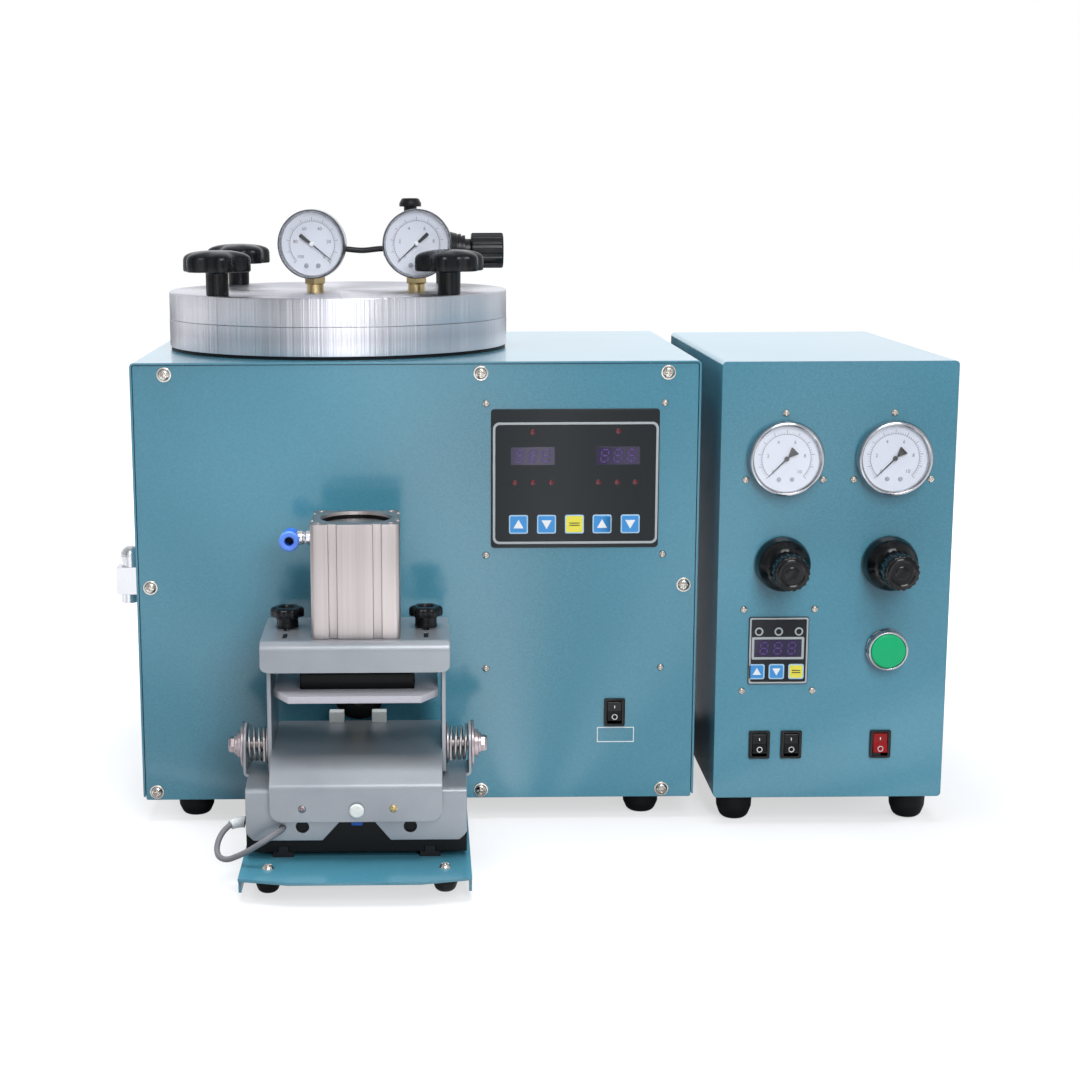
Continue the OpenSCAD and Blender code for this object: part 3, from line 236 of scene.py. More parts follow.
teal_paint, tree, where = blank("satin_teal_paint")
GRAIN_MM = 1.3
grain = noise(tree, where, 1000 / GRAIN_MM)
drift = reckon(tree, "MULTIPLY_ADD", grain, 0.6, noise(tree, where, 5.0, 1.0))
finished(teal_paint, {"Base Color": speckled(tree, "#468499", drift, 0.4, 1.2, 0.26),
                      "Normal": dented(tree, grain, 0.25, 0.0002, 0.0007), "Roughness": 0.36,
                      "Specular IOR Level": 0.25, "Coat Weight": 1.0, "Coat Roughness": 0.14})
dress(teal_paint, "base_pan", "case_cover", "front_panel", "box_cover", "box_chassis",
      "clamp_base")


# ---- Rubber feet ----
# Moulded black rubber bumpers, screwed on from below: wide and straight at the top, rounded
# where they stand. Four under the case, four taller ones under the box, two under the clamp.
CASE_MIDDLE = np.array([79.0, 61.5, 0.0])
UP, RIGHT, LEFT, FRONT = (0, 0, 1), (1, 0, 0), (-1, 0, 0), (0, -1, 0)
ORIGIN = (0, 0, 0)


def at(points):
    """Millimetres from the case's middle, its front panel and the floor, as model metres."""
    return (np.asarray(points, float) - CASE_MIDDLE) / 1000


def rounded(corners, steps=5):
    """A 2D outline of corners (x, y) or (x, y, radius), which become arcs of that radius
    tangent to both their sides."""
    spots = [np.array(corner[:2], float) for corner in corners]
    line = []
    for i, spot in enumerate(spots):
        radius = corners[i][2] if len(corners[i]) > 2 else 0
        if not radius:
            line.append(spot)
            continue
        sides = [spots[i - 1] - spot, spots[(i + 1) % len(spots)] - spot]
        back, ahead = (side / np.linalg.norm(side) for side in sides)
        half = math.acos(np.clip(back @ ahead, -1, 1)) / 2
        middle = spot + (back + ahead) / np.linalg.norm(back + ahead) * radius / math.sin(half)
        first, last = (spot + side * radius / math.tan(half) - middle for side in (back, ahead))
        share = np.linspace(0, 1, steps + 1)[:, None]
        arc = first * (1 - share) + last * share
        line.extend(middle + arc / np.linalg.norm(arc, axis=1)[:, None] * radius)
    return np.array(line)


def grid_faces(rows, columns, wrap_rows=False):
    """The quads of a grid of rows x columns points, closed round its columns."""
    i, k = np.meshgrid(np.arange(rows if wrap_rows else rows - 1), np.arange(columns),
                       indexing="ij")
    i, k = i.ravel(), k.ravel()
    next_i, next_k = (i + 1) % rows, (k + 1) % columns
    return np.stack([i * columns + k, i * columns + next_k, next_i * columns + next_k,
                     next_i * columns + k], axis=1).tolist()


def capped(points):
    """A grid of points, closed round its columns and by a flat face at each end."""
    rows, columns = points.shape[:2]
    ends = [list(range(columns)), list(range((rows - 1) * columns, rows * columns))]
    return points.reshape(-1, 3), grid_faces(rows, columns) + ends


def angles(turns):
    """So many equal angles round a circle."""
    return np.arange(turns) * 2 * math.pi / turns


def square_to(axis):
    """An axis as a unit vector, with two more that are square to it and to each other."""
    axis = np.array(axis, float) / np.linalg.norm(axis)
    across = np.cross(axis, UP if abs(axis[2]) < 0.9 else RIGHT)
    across = across / np.linalg.norm(across)
    return axis, across, np.cross(axis, across)


def lathe(corners, centre, axis, turns, steps=5):
    """A profile of (radius, height) or (radius, height, rounding) carried round an axis: point
    (i, k) is the centre plus height i along the axis plus radius i at the angle k. A profile
    that starts off the axis is a closed ring."""
    profile = rounded(corners, steps)
    axis, across, other = square_to(axis)
    angle = angles(turns)[:, None]
    ring = np.cos(angle) * across + np.sin(angle) * other
    points = (np.asarray(centre, float) + profile[:, 1, None, None] * axis
              + profile[:, 0, None, None] * ring)
    return points.reshape(-1, 3), grid_faces(len(profile), turns, wrap_rows=corners[0][0] > 0)


def rod(radius, low, high, centre, axis, turns, rims=(0, 0), bore=0):
    """A round rod or ring from low to high along an axis, with its two outer rims rounded."""
    return lathe([(bore, low), (radius, low, rims[0]), (radius, high, rims[1]), (bore, high)],
                 centre, axis, turns)


def merged(mesh, points, faces, near, marks=0):
    """Fills a mesh, merges its points that are near each other and turns its faces outwards."""
    mesh.from_pydata(np.asarray(points).tolist(), [], faces)
    mesh.polygons.foreach_set("material_index", np.zeros(len(faces), int) + marks)
    shell = bmesh.new()
    shell.from_mesh(mesh)
    bmesh.ops.remove_doubles(shell, verts=shell.verts, dist=near)
    bmesh.ops.recalc_face_normals(shell, faces=shell.faces)
    shell.to_mesh(mesh)
    shell.free()


def piece(name, body, slot, parts, *cad):
    """One piece that rides on a body and stands for CAD nodes: each part is a material and its
    shapes in millimetres, which are joined and shaded smooth up to 35 degrees."""
    mesh = bpy.data.meshes.new(name)
    points, faces, marks, materials = [], [], [], []
    for material, *shapes in parts:
        if material not in materials:
            materials.append(material)
            mesh.materials.append(material)
        for shape_points, shape_faces in shapes:
            before = sum(map(len, points))
            points.append(shape_points)
            faces += [[v + before for v in face] for face in shape_faces]
            marks += [materials.index(material)] * len(shape_faces)
    merged(mesh, at(np.concatenate(points)), faces, 2e-7, np.array(marks))
    mesh.polygons.foreach_set("use_smooth", np.ones(len(mesh.polygons), bool))
    mesh.set_sharp_from_angle(angle=math.radians(35))
    made = bpy.data.objects.new(name, mesh)
    bpy.context.scene.collection.objects.link(made)
    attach(made, body)
    if cad:
        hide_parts(*cad)
    return made


def plain(name, code, rough, metal=0.0, speck_mm=1.5, speck=0.04, dent=0.05, shine=0.5):
    """A plain finish: a colour with a faint speckle speck_mm apart, dented as much as dent."""
    material, tree, where = blank(name)
    grain = noise(tree, where, 1000 / speck_mm, 3.0)
    return finished(material, {
        "Base Color": speckled(tree, code, grain, 0.3, 0.7, speck),
        "Roughness": ranged(tree, grain, 0.0, 1.0, rough * 0.85, min(1.0, rough * 1.15)),
        "Normal": dented(tree, grain, dent, 0.0002, 0.0004),
        "Metallic": metal, "Specular IOR Level": shine})


black_rubber = plain("moulded_black_rubber", "#08090b", 0.6, speck=0.15, dent=0.15, shine=0.25)
feet = []
for wide, high, spots in (
        (27.0, 16.0, [(x, y) for x in (-168, 168) for y in (21, 263)]),
        (27.0, 20.5, [(x, y) for x in (236, 366) for y in (2, 246)]),
        (17.5, 14.0, [(-101, -148), (18, -148)])):
    half = wide / 2
    foot = [(0, 0), (half * 0.72, 0, high * 0.3), (half * 0.96, high * 0.45, high * 0.25),
            (half, high, 0.4), (0, high)]
    feet += [lathe(foot, (x, y, 0), UP, 48) for x, y in spots]
piece("rubber_bumpers", "base", "rubber", [(black_rubber, *feet)], "rubber_feet")

# ---- Panel screws ----
# Nickel plated pan head screws with a cross recess: those at the case's edges are wide and
# sit on thin washers, those on the clamp's base stand taller, and all the others are small.
nickel_plate = plain("bright_nickel_plate", "#d9d4cc", 0.22, metal=1.0, speck_mm=0.8, speck=0.05)


def cross_head(centre, axis, radius, height, turns=48, rings=14):
    """A domed head with a cross recess: its height over the point (r, t) is the dome's, less
    the depth of a cross whose arms fade out past half the radius."""
    r = np.r_[np.linspace(0, 1, rings), 1.0][:, None]
    x, y = r * np.cos(angles(turns)), r * np.sin(angles(turns))
    arm = np.minimum(np.abs(x), np.abs(y))
    reach = np.maximum(np.abs(x), np.abs(y))
    sunk = np.clip((0.17 - arm) / 0.06, 0, 1) * np.clip((0.62 - reach) / 0.12, 0, 1)
    lift = height * (np.sqrt(np.clip(1.25 - r ** 2, 0, None)) - 0.5) / 0.618 - sunk * height * 0.62
    lift[-1] = 0
    axis, across, other = square_to(axis)
    return capped(np.array(centre, float) + lift[..., None] * axis
                  + radius * (x[..., None] * across + y[..., None] * other))


def unit(degrees):
    """The direction at an angle in a plane, as its cosine and sine."""
    return np.array([math.cos(math.radians(degrees)), math.sin(math.radians(degrees))])


BOX_FRONT = -17.0
LEFT_COLUMN, RIGHT_COLUMN = 263.6, 341.1
GAUGE_HIGH, GAUGE_SCREWS = 273.7, 32
COUNTER_X, COUNTER_Z = 262.6, 132.2
screws = []
for x, z in ((-180.5, 333.6), (46.5, 333.6), (181.3, 333.6), (-195, 178), (195, 178),
             (-195, 22.5), (46.5, 22.5), (181.3, 22.5)):
    screws.append(rod(5.4, 0, 0.8, (x, -0.02, z), FRONT, 40, (0, 0.3), bore=1.5))
    screws.append(cross_head((x, -0.8, z), FRONT, 4.4, 2.4))
small = [(x, 0, z) for z in (311.8, 200.8, 115.8) for x in (50.2, 179.2)]
small += [(x + GAUGE_SCREWS * way[0], BOX_FRONT, GAUGE_HIGH + GAUGE_SCREWS * way[1])
          for x in (LEFT_COLUMN, RIGHT_COLUMN) for way in map(unit, (90, 210, 330))]
small += [(COUNTER_X + dx, BOX_FRONT, COUNTER_Z + dz) for dx in (-25.8, 25.8) for dz in (-30.5, 30.5)]
screws += [cross_head(spot, FRONT, 2.75, 1.9) for spot in small]
screws += [cross_head((x, -148, 16), UP, 4.0, 3.3) for x in (-101, 18)]
piece("cross_head_screws", "base", "nickel", [(nickel_plate, *screws)], "panel_screws")


# ---- Pot flange, gasket and lid ----
# Two cast aluminium rings of the same width, turned on a lathe: the flange on its rubber
# gasket, and the lid on top, whose face shows the tool's fine circles.
def two_tone(tree, fine, share, broad, low, high, dark, code):
    """A colour from dark to code as fine * share + broad goes from low to high."""
    tone = ranged(tree, reckon(tree, "MULTIPLY_ADD", fine, share, broad), low, high)
    return add(tree, "Mix", {"Factor": tone, 6: colour(dark), 7: colour(code)}, data_type="RGBA")[2]


LID_AT = (-61.0, 146.0)
CASE_TOP, GASKET, RING_T = 342.0, 2.5, 21.0
FLANGE_LOW = CASE_TOP + GASKET
LID_LOW = FLANGE_LOW + RING_T
LID_TOP = LID_LOW + RING_T
LINE_MM = 0.6
turned_aluminium, tree, where = blank("turned_aluminium")
out = reckon(tree, "SUBTRACT", where, tuple(at((*LID_AT, 0))), kind="VectorMath")
flat = reckon(tree, "MULTIPLY", out, (1, 1, 0), kind="VectorMath")
radius = add(tree, "VectorMath", {0: flat}, operation="LENGTH")["Value"]
reach = reckon(tree, "ADD", radius, add(tree, "SeparateXYZ", {0: out})["Z"])
line = add(tree, "CombineXYZ", {"X": reach})[0]
fine = noise(tree, line, 1000 / LINE_MM)
chatter = noise(tree, reckon(tree, "NORMALIZE", flat, kind="VectorMath"), 26.0, 4.0, 0.7)
waved = dented(tree, chatter, 1.0, 0.0006, 0.0006)
round_way = reckon(tree, "CROSS_PRODUCT", (0, 0, 1), flat, kind="VectorMath")
facing = add(tree, "NewGeometry")["True Normal"]
finished(turned_aluminium, {
    "Base Color": two_tone(tree, fine, 0.5, noise(tree, line, 60.0, 1.0), 0.45, 1.05, "#c6c5cc",
                           "#e4e3e8"),
    "Normal": dented(tree, fine, 0.16, 0.0001, waved),
    "Tangent": reckon(tree, "CROSS_PRODUCT", facing, round_way, kind="VectorMath"),
    "Metallic": 1.0, "Roughness": 0.3, "Anisotropic": 0.97})
lid_ring = rod(131.8, 0, RING_T, (*LID_AT, LID_LOW + 0.05), UP, 192, (0.7, 1.0))
piece("turned_lid", "lid", "aluminium", [(turned_aluminium, lid_ring)], "pot_lid")
dress(turned_aluminium, "pot_flange", "wax_pot")
dress(black_rubber, "pot_gasket")

# ---- Star knobs ----
# Four black phenolic star knobs on the lid's screws: six full lobes with a soft crown, and a
# straight neck. The screw below is zinc plated steel.
black_phenolic = plain("polished_black_phenolic", "#04050a", 0.26, speck_mm=3.0, speck=0.1,
                       dent=0.02, shine=0.3)
zinc_steel = plain("zinc_plated_steel", "#c9ccd0", 0.3, metal=1.0, speck_mm=1.0, speck=0.07)


def star_head(centre, turn, reach=26.0, turns=144):
    """A lobed head as rings over the angle t: the outline is six round lobes with hollows
    4.4 mm deep between them, and each ring is that outline shrunk by the share at its height.
    The hollows fade out towards the crown."""
    t = angles(turns)[None, :]
    lobes, deep = 6, 4.4
    hollow = deep * (0.5 - 0.5 * np.cos(lobes * (t - turn))) ** 1.25
    share, height = np.array([
        (0, 0.1), (0.3, 0.1), (0.88, 0.1), (0.955, 0.25), (0.985, 0.6), (1, 1.6), (1, 5),
        (1, 8.4), (0.992, 9.8), (0.97, 11.1), (0.93, 12.2), (0.86, 13.25), (0.76, 14.15),
        (0.62, 14.95), (0.45, 15.5), (0.24, 15.86), (0, 16)]).T[..., None]
    radius = reach * share - hollow * np.clip((share - 0.35) / 0.5, 0, 1) ** 1.5
    return capped(np.stack([radius * np.cos(t), radius * np.sin(t), height + 0 * t], 2) + centre)


STUD_RING, NECK_HIGH = 121.5, 17.3
for number, angle in enumerate((225, 315, 45, 135), start=1):
    spot = LID_AT + STUD_RING * unit(angle)
    neck = lathe([(0, 0), (8.4, 0, 0.6), (8.4, 16.4, 1.0), (10.5, 17.6), (0, 17.6)],
                 (*spot, LID_TOP + 0.05), UP, 64)
    piece(f"star_knob_{number}_dressed", f"star_knob_{number}", "black_plastic", [
        (black_phenolic, star_head((*spot, LID_TOP + NECK_HIGH), math.radians(angle)), neck),
        (zinc_steel, rod(4, 0, 40, (*spot, FLANGE_LOW + 6), UP, 32, (0.8, 0)))],
        f"star_knob_{number}")

# ---- Lid gauges ----
# Two pressed steel gauges on brass hexagon ends: a thin polished bezel, a white enamelled
# dial some 5 mm below its rim with a plain scale, a flat glass and a black pointer.
polished_nickel = plain("polished_nickel", "#e4e5e8", 0.24, metal=1.0, speck_mm=4.0, speck=0.02,
                        dent=0.02)
turned_brass = plain("machined_brass", "#dcc796", 0.34, metal=1.0, speck_mm=0.7, speck=0.08)
dial_enamel = plain("white_dial_enamel", "#e0e5f2", 0.45, speck=0.01, dent=0.02)
scale_ink = plain("black_scale_ink", "#16181c", 0.5, speck=0.1)
ring_ink = plain("grey_scale_ink", "#9aa0ae", 0.5, speck=0.05)
figure_ink = plain("faded_scale_ink", "#7f7480", 0.5, speck=0.05)
hub_white = plain("white_pointer_hub", "#eceff2", 0.35, speck=0.02)
spun_steel = plain("spun_steel_bezel", "#b3b5ba", 0.2, metal=1.0, speck_mm=2.0, speck=0.05)
gauge_glass, tree, where = blank("flat_gauge_glass")
finished(gauge_glass, {"Metallic": 1.0, "Roughness": 0.04,
                       "Alpha": ranged(tree, noise(tree, where, 40.0), 0.0, 1.0, 0.03, 0.07)})
PRINT = 0.12


def placed(shape, origin, right=RIGHT, up=(0, 1, 0), out=UP):
    """A shape drawn in its own (right, up, out) axes, set at an origin of the fit frame."""
    return np.asarray(shape[0], float) @ np.array([right, up, out]) + origin, shape[1]


def moved(parts, origin, axes):
    """Parts of a piece, with all their shapes placed alike."""
    return [(material, *(placed(shape, origin, *axes) for shape in shapes))
            for material, *shapes in parts]


def read(mesh):
    """A mesh's points and faces."""
    points = np.empty(len(mesh.vertices) * 3)
    mesh.vertices.foreach_get("co", points)
    return points.reshape(-1, 3), [list(face.vertices) for face in mesh.polygons]


def traced(curve, thickness, lift=0.0):
    """The solid of a filled curve with a thickness, which is then removed."""
    curve.extrude = thickness / 2 - curve.bevel_depth
    drawn = bpy.data.objects.new("drawn", curve)
    points, faces = read(drawn.to_mesh())
    drawn.to_mesh_clear()
    bpy.data.objects.remove(drawn)
    bpy.data.curves.remove(curve)
    return points + [0, 0, lift], faces


def plate(outline, thickness, holes=(), bevel=0.0):
    """A flat plate in its own XY plane, from z = 0 up to its thickness: a filled curve with
    holes, whose rims are bevelled inside the drawn outline."""
    curve = bpy.data.curves.new("outline", "CURVE")
    curve.dimensions = "2D"
    curve.fill_mode = "BOTH"
    curve.bevel_depth = bevel
    curve.offset = -bevel
    curve.bevel_resolution = 1
    for line, turn in [(outline, 1), *[(hole, -1) for hole in holes]]:
        line = np.asarray(line, float)
        after = np.roll(line, -1, axis=0)
        area = (line[:, 0] * after[:, 1] - line[:, 1] * after[:, 0]).sum()
        line = line if area * turn > 0 else line[::-1]
        spline = curve.splines.new("POLY")
        spline.points.add(len(line) - 1)
        spline.points.foreach_set("co", np.c_[line, 0 * line[:, :1], 0 * line[:, :1] + 1].ravel())
        spline.use_cyclic_u = True
    return traced(curve, thickness, thickness / 2)


def circle(radius, centre=(0, 0), steps=48, start=0.0, stop=360.0):
    """Points on a circle or, between two angles in degrees, on an arc."""
    angle = np.radians(np.linspace(start, stop, steps, endpoint=stop - start < 360))
    return np.c_[centre[0] + radius * np.cos(angle), centre[1] + radius * np.sin(angle)]


def letters(text, high):
    """Plain figures as flat solids: the font's height in mm, centred on its own origin."""
    curve = bpy.data.curves.new("figures", "FONT")
    curve.body = text
    curve.size = high
    curve.resolution_u = 3
    curve.align_x, curve.align_y = "CENTER", "CENTER"
    return traced(curve, PRINT)


def dial(radius, start, sweep, figure_step, seat):
    """A printed dial: disc, scale ring, 50 ticks of which each fifth is long, and six figures
    spread along the sweep in degrees from the start."""
    ring, half_line = radius * 0.735, 0.22
    ends = {"start": min(start, start + sweep), "stop": max(start, start + sweep)}
    arc = np.r_[circle(ring + half_line, **ends), circle(ring - half_line, **ends)[::-1]]
    marks = []
    for i in range(51):
        way = unit(start + sweep * i / 50)
        long, wide = (2.9, 0.36) if i % 5 == 0 else (1.6, 0.22)
        side = np.array([-way[1], way[0]]) * wide / 2
        tick = [way * r + side * s for r, s in ((ring, 1), (ring, -1), (ring + long, -1),
                                                (ring + long, 1))]
        marks.append(placed(plate(tick, PRINT), (0, 0, seat)))
    for i in range(6):
        x, y = (ring - 4.2) * unit(start + sweep * i / 5) - [0, 0.2]
        marks.append(placed(letters(str(i * figure_step), 3.6), (x, y, seat + 0.06)))
    return [(dial_enamel, placed(plate(circle(radius, steps=72), 0.6), (0, 0, seat - 0.6))),
            (ring_ink, placed(plate(arc, PRINT), (0, 0, seat))), (figure_ink, *marks)]


def turned_axes(degrees):
    """The right, up and out axes of a face that looks to the front, turned about Z."""
    cos, sin = unit(degrees)
    return (cos, sin, 0), UP, (sin, -cos, 0)


def pointer(name, origin, seat, axes, angle, hub_ink, tip, tail, half, waist):
    """A black pointer with a slim tapered tip, a wider tail and a pin through a small hub."""
    cos, sin = unit(angle)
    outline = rounded([(tip, 0.22, 0.1), (0, 0.6), (-tail * 0.25, waist), (-tail, half, 0.5),
                       (-tail, -half, 0.5), (-tail * 0.25, -waist), (0, -0.6), (tip, -0.22, 0.1)], 3)
    needle = placed(plate(outline, 0.5, bevel=0.1), (0, 0, 1.5), (cos, sin, 0), (-sin, cos, 0))
    hub = lathe([(0, -5.2), (1.4, -5.2, 0.1), (1.4, 1.0), (1.7, 1.0), (1.7, 2.2, 0.3),
                 (1.4, 2.6, 0.3), (0, 2.6)], ORIGIN, UP, 24)
    spot = np.array(origin) + seat * np.array(axes[2])
    piece(name + "_needle", name, "black_metal",
          moved([(scale_ink, needle), (hub_ink, hub)], spot, axes), name)


LID_GAUGE_Y, LID_GAUGE_Z = 98.5, LID_TOP + 36.5
LID_DIAL = 8.4
STEM_HIGH = LID_GAUGE_Z - LID_TOP - 24
gauges = []
for x, turn, start, sweep, figure_step in ((-76.5, -10, 315, 270, 20), (0.5, 3, 225, -270, 2)):
    face = dial(23.4, start, sweep, figure_step, LID_DIAL)
    face.append((ring_ink, *(lathe([(0, 0), (1.8, 0), (1.7, 0.5), (0, 0.8)], (sx, -16, LID_DIAL),
                                   UP, 24) for sx in (-4.6, 4.6))))
    bezel = [(19, 7.4), (24.3, 7.4), (24.3, 11.4, 0.3), (25.3, 13, 0.6), (25.4, 13, 0.5),
             (26, 11.8, 0.5), (26, 6.4, 0.4), (25.3, 5.6, 0.4), (23.4, 5, 0.5), (23, -9.8, 1.0),
             (20, -11.8, 0.5), (19, -11.8)]
    face.append((spun_steel, lathe(bezel, ORIGIN, UP, 96, steps=3),
                 rod(19.2, -11.8, -9.8, ORIGIN, UP, 48)))
    face.append((gauge_glass, rod(24.3, 11.6, 12.2, ORIGIN, UP, 72)))
    gauges += moved(face, (x, LID_GAUGE_Y, LID_GAUGE_Z), turned_axes(turn))
    socket = [(0, 0), (6.4, 0, 0.3), (6.4, 5.8, 0.4), (5.6, 6.8, 0.3), (0, 6.8)]
    gauges.append((turned_brass,
                   rod(8.6, 6.6, STEM_HIGH, (x, LID_GAUGE_Y, LID_TOP), UP, 6, (0.9, 0.9)),
                   lathe(socket, (x, LID_GAUGE_Y, LID_TOP + 0.02), UP, 48)))
piece("lid_gauges_dressed", "lid", "nickel", gauges, "lid_gauges")
for name, x, turn, angle in (("vacuum_pointer", -76.5, -10, 322), ("pressure_pointer", 0.5, 3, 222)):
    pointer(name, (x, LID_GAUGE_Y, LID_GAUGE_Z), LID_DIAL, turned_axes(turn), angle, hub_white,
            19.4, 11.4, 1.4, 1.1)

# ---- Lid regulator, its knob and the hose ----
# A black pressure regulator behind the gauges with a relief valve on top, screwed to the lid
# by a brass stem; its ribbed knob points right, and a nylon hose joins it to the gauges.
black_nylon = plain("moulded_black_nylon", "#0a0b0e", 0.3, speck_mm=2.0, speck=0.12, dent=0.05,
                    shine=0.35)
REGULATOR = np.array([5.0, 134.0, LID_TOP + 30])


def ribbed(radius, low, high, ribs, depth, round_over, turns=180, rings=10):
    """A knob with raised ribs: the radius at the angle t is less by the depth between ribs,
    and both ends are rounded over; its height runs along the third axis."""
    t = angles(turns)[None, :]
    groove = depth * np.clip(0.5 - 1.6 * np.cos(ribs * t), 0, 1)
    lean = np.linspace(0, math.pi / 2, rings)[:, None]
    end = radius - round_over + (round_over - groove) * np.sin(lean)
    start = low + round_over * (1 - np.cos(lean))
    r = np.concatenate([end, end[::-1]])
    lift = np.concatenate([start, high + low - start[::-1]]) + 0 * t
    return capped(np.stack([r * np.cos(t), r * np.sin(t), lift], axis=2))


def block(low, high, round_by):
    """A box between two corners with rounded upright edges and small bevels."""
    low = np.array(low, float)
    wide, deep, tall = high - low
    outline = rounded([(0, 0, round_by), (wide, 0, round_by), (wide, deep, round_by),
                       (0, deep, round_by)], 4)
    points, faces = plate(outline, tall, bevel=min(round_by, tall / 2) * 0.4)
    return points + low, faces


def tube(path, radius, sides=16):
    """A closed round rod along a path: each ring stands square to the way the path runs, and
    is turned by a reference carried along it, so it never twists."""
    run = np.gradient(path, axis=0)
    run /= np.linalg.norm(run, axis=1)[:, None]
    side = np.cross(run[0], UP if abs(run[0][2]) < 0.8 else RIGHT)
    angle = angles(sides)[:, None]
    rings = []
    for point, way, r in zip(path, run, np.broadcast_to(radius, len(path))):
        side = side - way * (side @ way)
        side /= np.linalg.norm(side)
        rings.append(point + r * (np.cos(angle) * side + np.sin(angle) * np.cross(way, side)))
    return capped(np.array(rings))


def smooth_route(route, between=6):
    """A Catmull-Rom curve through the route: cubic pieces whose end slopes are half the step
    between the neighbours of each point."""
    route = np.asarray(route, float)
    full = np.concatenate([[2 * route[0] - route[1]], route, [2 * route[-1] - route[-2]]])
    s = np.linspace(0, 1, between, endpoint=False)[:, None, None]
    a, b, c, d = (full[i:len(full) - 3 + i][None] for i in range(4))
    curve = 0.5 * (2 * b + (c - a) * s + (2 * a - 5 * b + 4 * c - d) * s ** 2
                   + (3 * b - a - 3 * c + d) * s ** 3)
    return np.concatenate([curve.transpose(1, 0, 2).reshape(-1, 3), route[-1:]])


x, y, z = REGULATOR
bonnet = [(0, -20), (12, -20, 2), (15, -17, 2), (15, 13, 2), (12.5, 16, 1.5), (0, 16)]
tail_cap = [(0, 15.5), (18, 15.9, 0.8), (18, 19.9, 0.8), (14.5, 21.5, 0.5), (13.2, 27, 0.3),
            (12.6, 27), (12.6, 28.2), (13, 28.2, 0.3), (12.8, 30.2, 0.3), (11.4, 30.2),
            (11.4, 31.4), (11.9, 31.4, 0.3), (11.7, 33.4, 0.3), (9, 33.4), (9, 37.8, 0.4),
            (3.1, 37.8, 0.4), (3.1, 30), (0, 30)]
relief = [(0, 15), (5, 15), (5, 33.8, 0.3), (8.5, 33.8, 0.4), (8.5, 36.5, 1.0), (6.4, 40.2, 2.0),
          (0, 40.3)]
piece("lid_regulator_dressed", "lid", "black_plastic", [
    (black_nylon, lathe(bonnet, REGULATOR, RIGHT, 64), lathe(tail_cap, REGULATOR, RIGHT, 64),
     block((x - 14, y - 14, z - 16), (x + 12, y + 14, z + 16), 2.5),
     lathe(relief, (x - 9, y, z), UP, 48)),
    (turned_brass, rod(6.5, -30, -15.2, (x - 4.6, y, z), UP, 40, (0.5, 0.5)),
     rod(6, -30, -19, (x, y, z + 2), RIGHT, 32, (0.8, 0.8), bore=2.1))], "lid_regulator")
piece("vacuum_knob_dressed", "vacuum_knob", "black_plastic", [
    (black_nylon, placed(ribbed(13.5, 37.9, 62.9, 12, 0.9, 1.6), REGULATOR, (0, 1, 0), UP, RIGHT)),
    (zinc_steel, rod(3, 27, 39.5, REGULATOR, RIGHT, 24))], "vacuum_knob")
hose_x = -68.5
hose_line = smooth_route([(hose_x, y, z + 2), (hose_x + 13, y, z + 1.6),
                          ((hose_x + x - 20) / 2, y, z + 0.4), (x - 33, y, z + 1.6),
                          (x - 20, y, z + 2)])
piece("lid_hose_dressed", "lid", "rubber", [
    (black_nylon, tube(hose_line, 2.2)),
    (polished_nickel, rod(5, -7, 4, (hose_x, y, z + 2), RIGHT, 32, (0.8, 0.8))),
    (turned_brass, rod(5.5, 0, 36, (hose_x - 9.9, y, LID_TOP), UP, 32, (0.3, 1)))], "lid_hose")

# ---- Clamp base, rails and carriage block ----
# The folded teal plate carries two steel rails, and a fixed piston rod held by a bracket.
# The black carriage block slides on the rails; its bore is the cylinder round that rod.
black_anodised = plain("black_anodised_aluminium", "#060708", 0.4, speck_mm=1.2, speck=0.12,
                       dent=0.08, shine=0.2)
oiled_steel = plain("oiled_black_steel", "#1d1f22", 0.45, metal=0.6, speck_mm=1.0, speck=0.1)
dress(oiled_steel, "guide_rails")
dress(black_anodised, "carriage_block")

# ---- Grey sheet of the clamp: yoke, tray and beam ----
# Laser cut steel of 2 to 2.8 mm, folded with soft bends and sprayed a metallic grey, which
# shows a bright line along each bend. The yoke's ears carry the tray on two pivot bolts.
grey_paint, tree, where = blank("metallic_grey_paint")
flake = add(tree, "TexVoronoi", {"Vector": where, "Scale": 2600.0})["Distance"]
haze = noise(tree, where, 30.0)
finished(grey_paint, {"Base Color": two_tone(tree, flake, 0.5, haze, 0.4, 1.0, "#868b92", "#93989e"),
                      "Normal": dented(tree, flake, 0.06, 0.0001, 0.0005), "Metallic": 0.55,
                      "Roughness": 0.40, "Coat Weight": 0.7, "Coat Roughness": 0.22})
CLAMP_X = -42.0
PLATE_T, SHEET_RIM = 2, 0.3


def spaced(path, step):
    """The same path with points no farther apart than the step."""
    points = [path[0]]
    for a, b in zip(path[:-1], path[1:]):
        count = max(1, math.ceil(np.linalg.norm(b - a) / step))
        points.extend(a + (b - a) * (np.arange(1, count + 1) / count)[:, None])
    return np.array(points)


def folded(path, low, high, thick, across="x"):
    """Folded sheet: the path is its outer face seen along the fold, the sheet lies thick mm to
    its left, and its sides run from low to high at each point. The rim is slightly bevelled."""
    run = np.gradient(path, axis=0)
    run /= np.linalg.norm(run, axis=1)[:, None]
    inward = np.c_[-run[:, 1], run[:, 0]]
    low, high = (np.broadcast_to(end, len(path))[:, None] for end in (low, high))
    near, far = low + SHEET_RIM, high - SHEET_RIM
    side = np.concatenate([near, far, high, high, far, near, low, low], 1)
    back = thick - SHEET_RIM
    depth = np.array([0, 0, SHEET_RIM, back, thick, thick, back, SHEET_RIM])
    flat = path[:, None, :] + inward[:, None, :] * depth[None, :, None]
    order = (0, 1, 2) if across == "x" else (1, 0, 2)
    return capped(np.stack([side, flat[..., 0], flat[..., 1]], axis=2)[..., order])


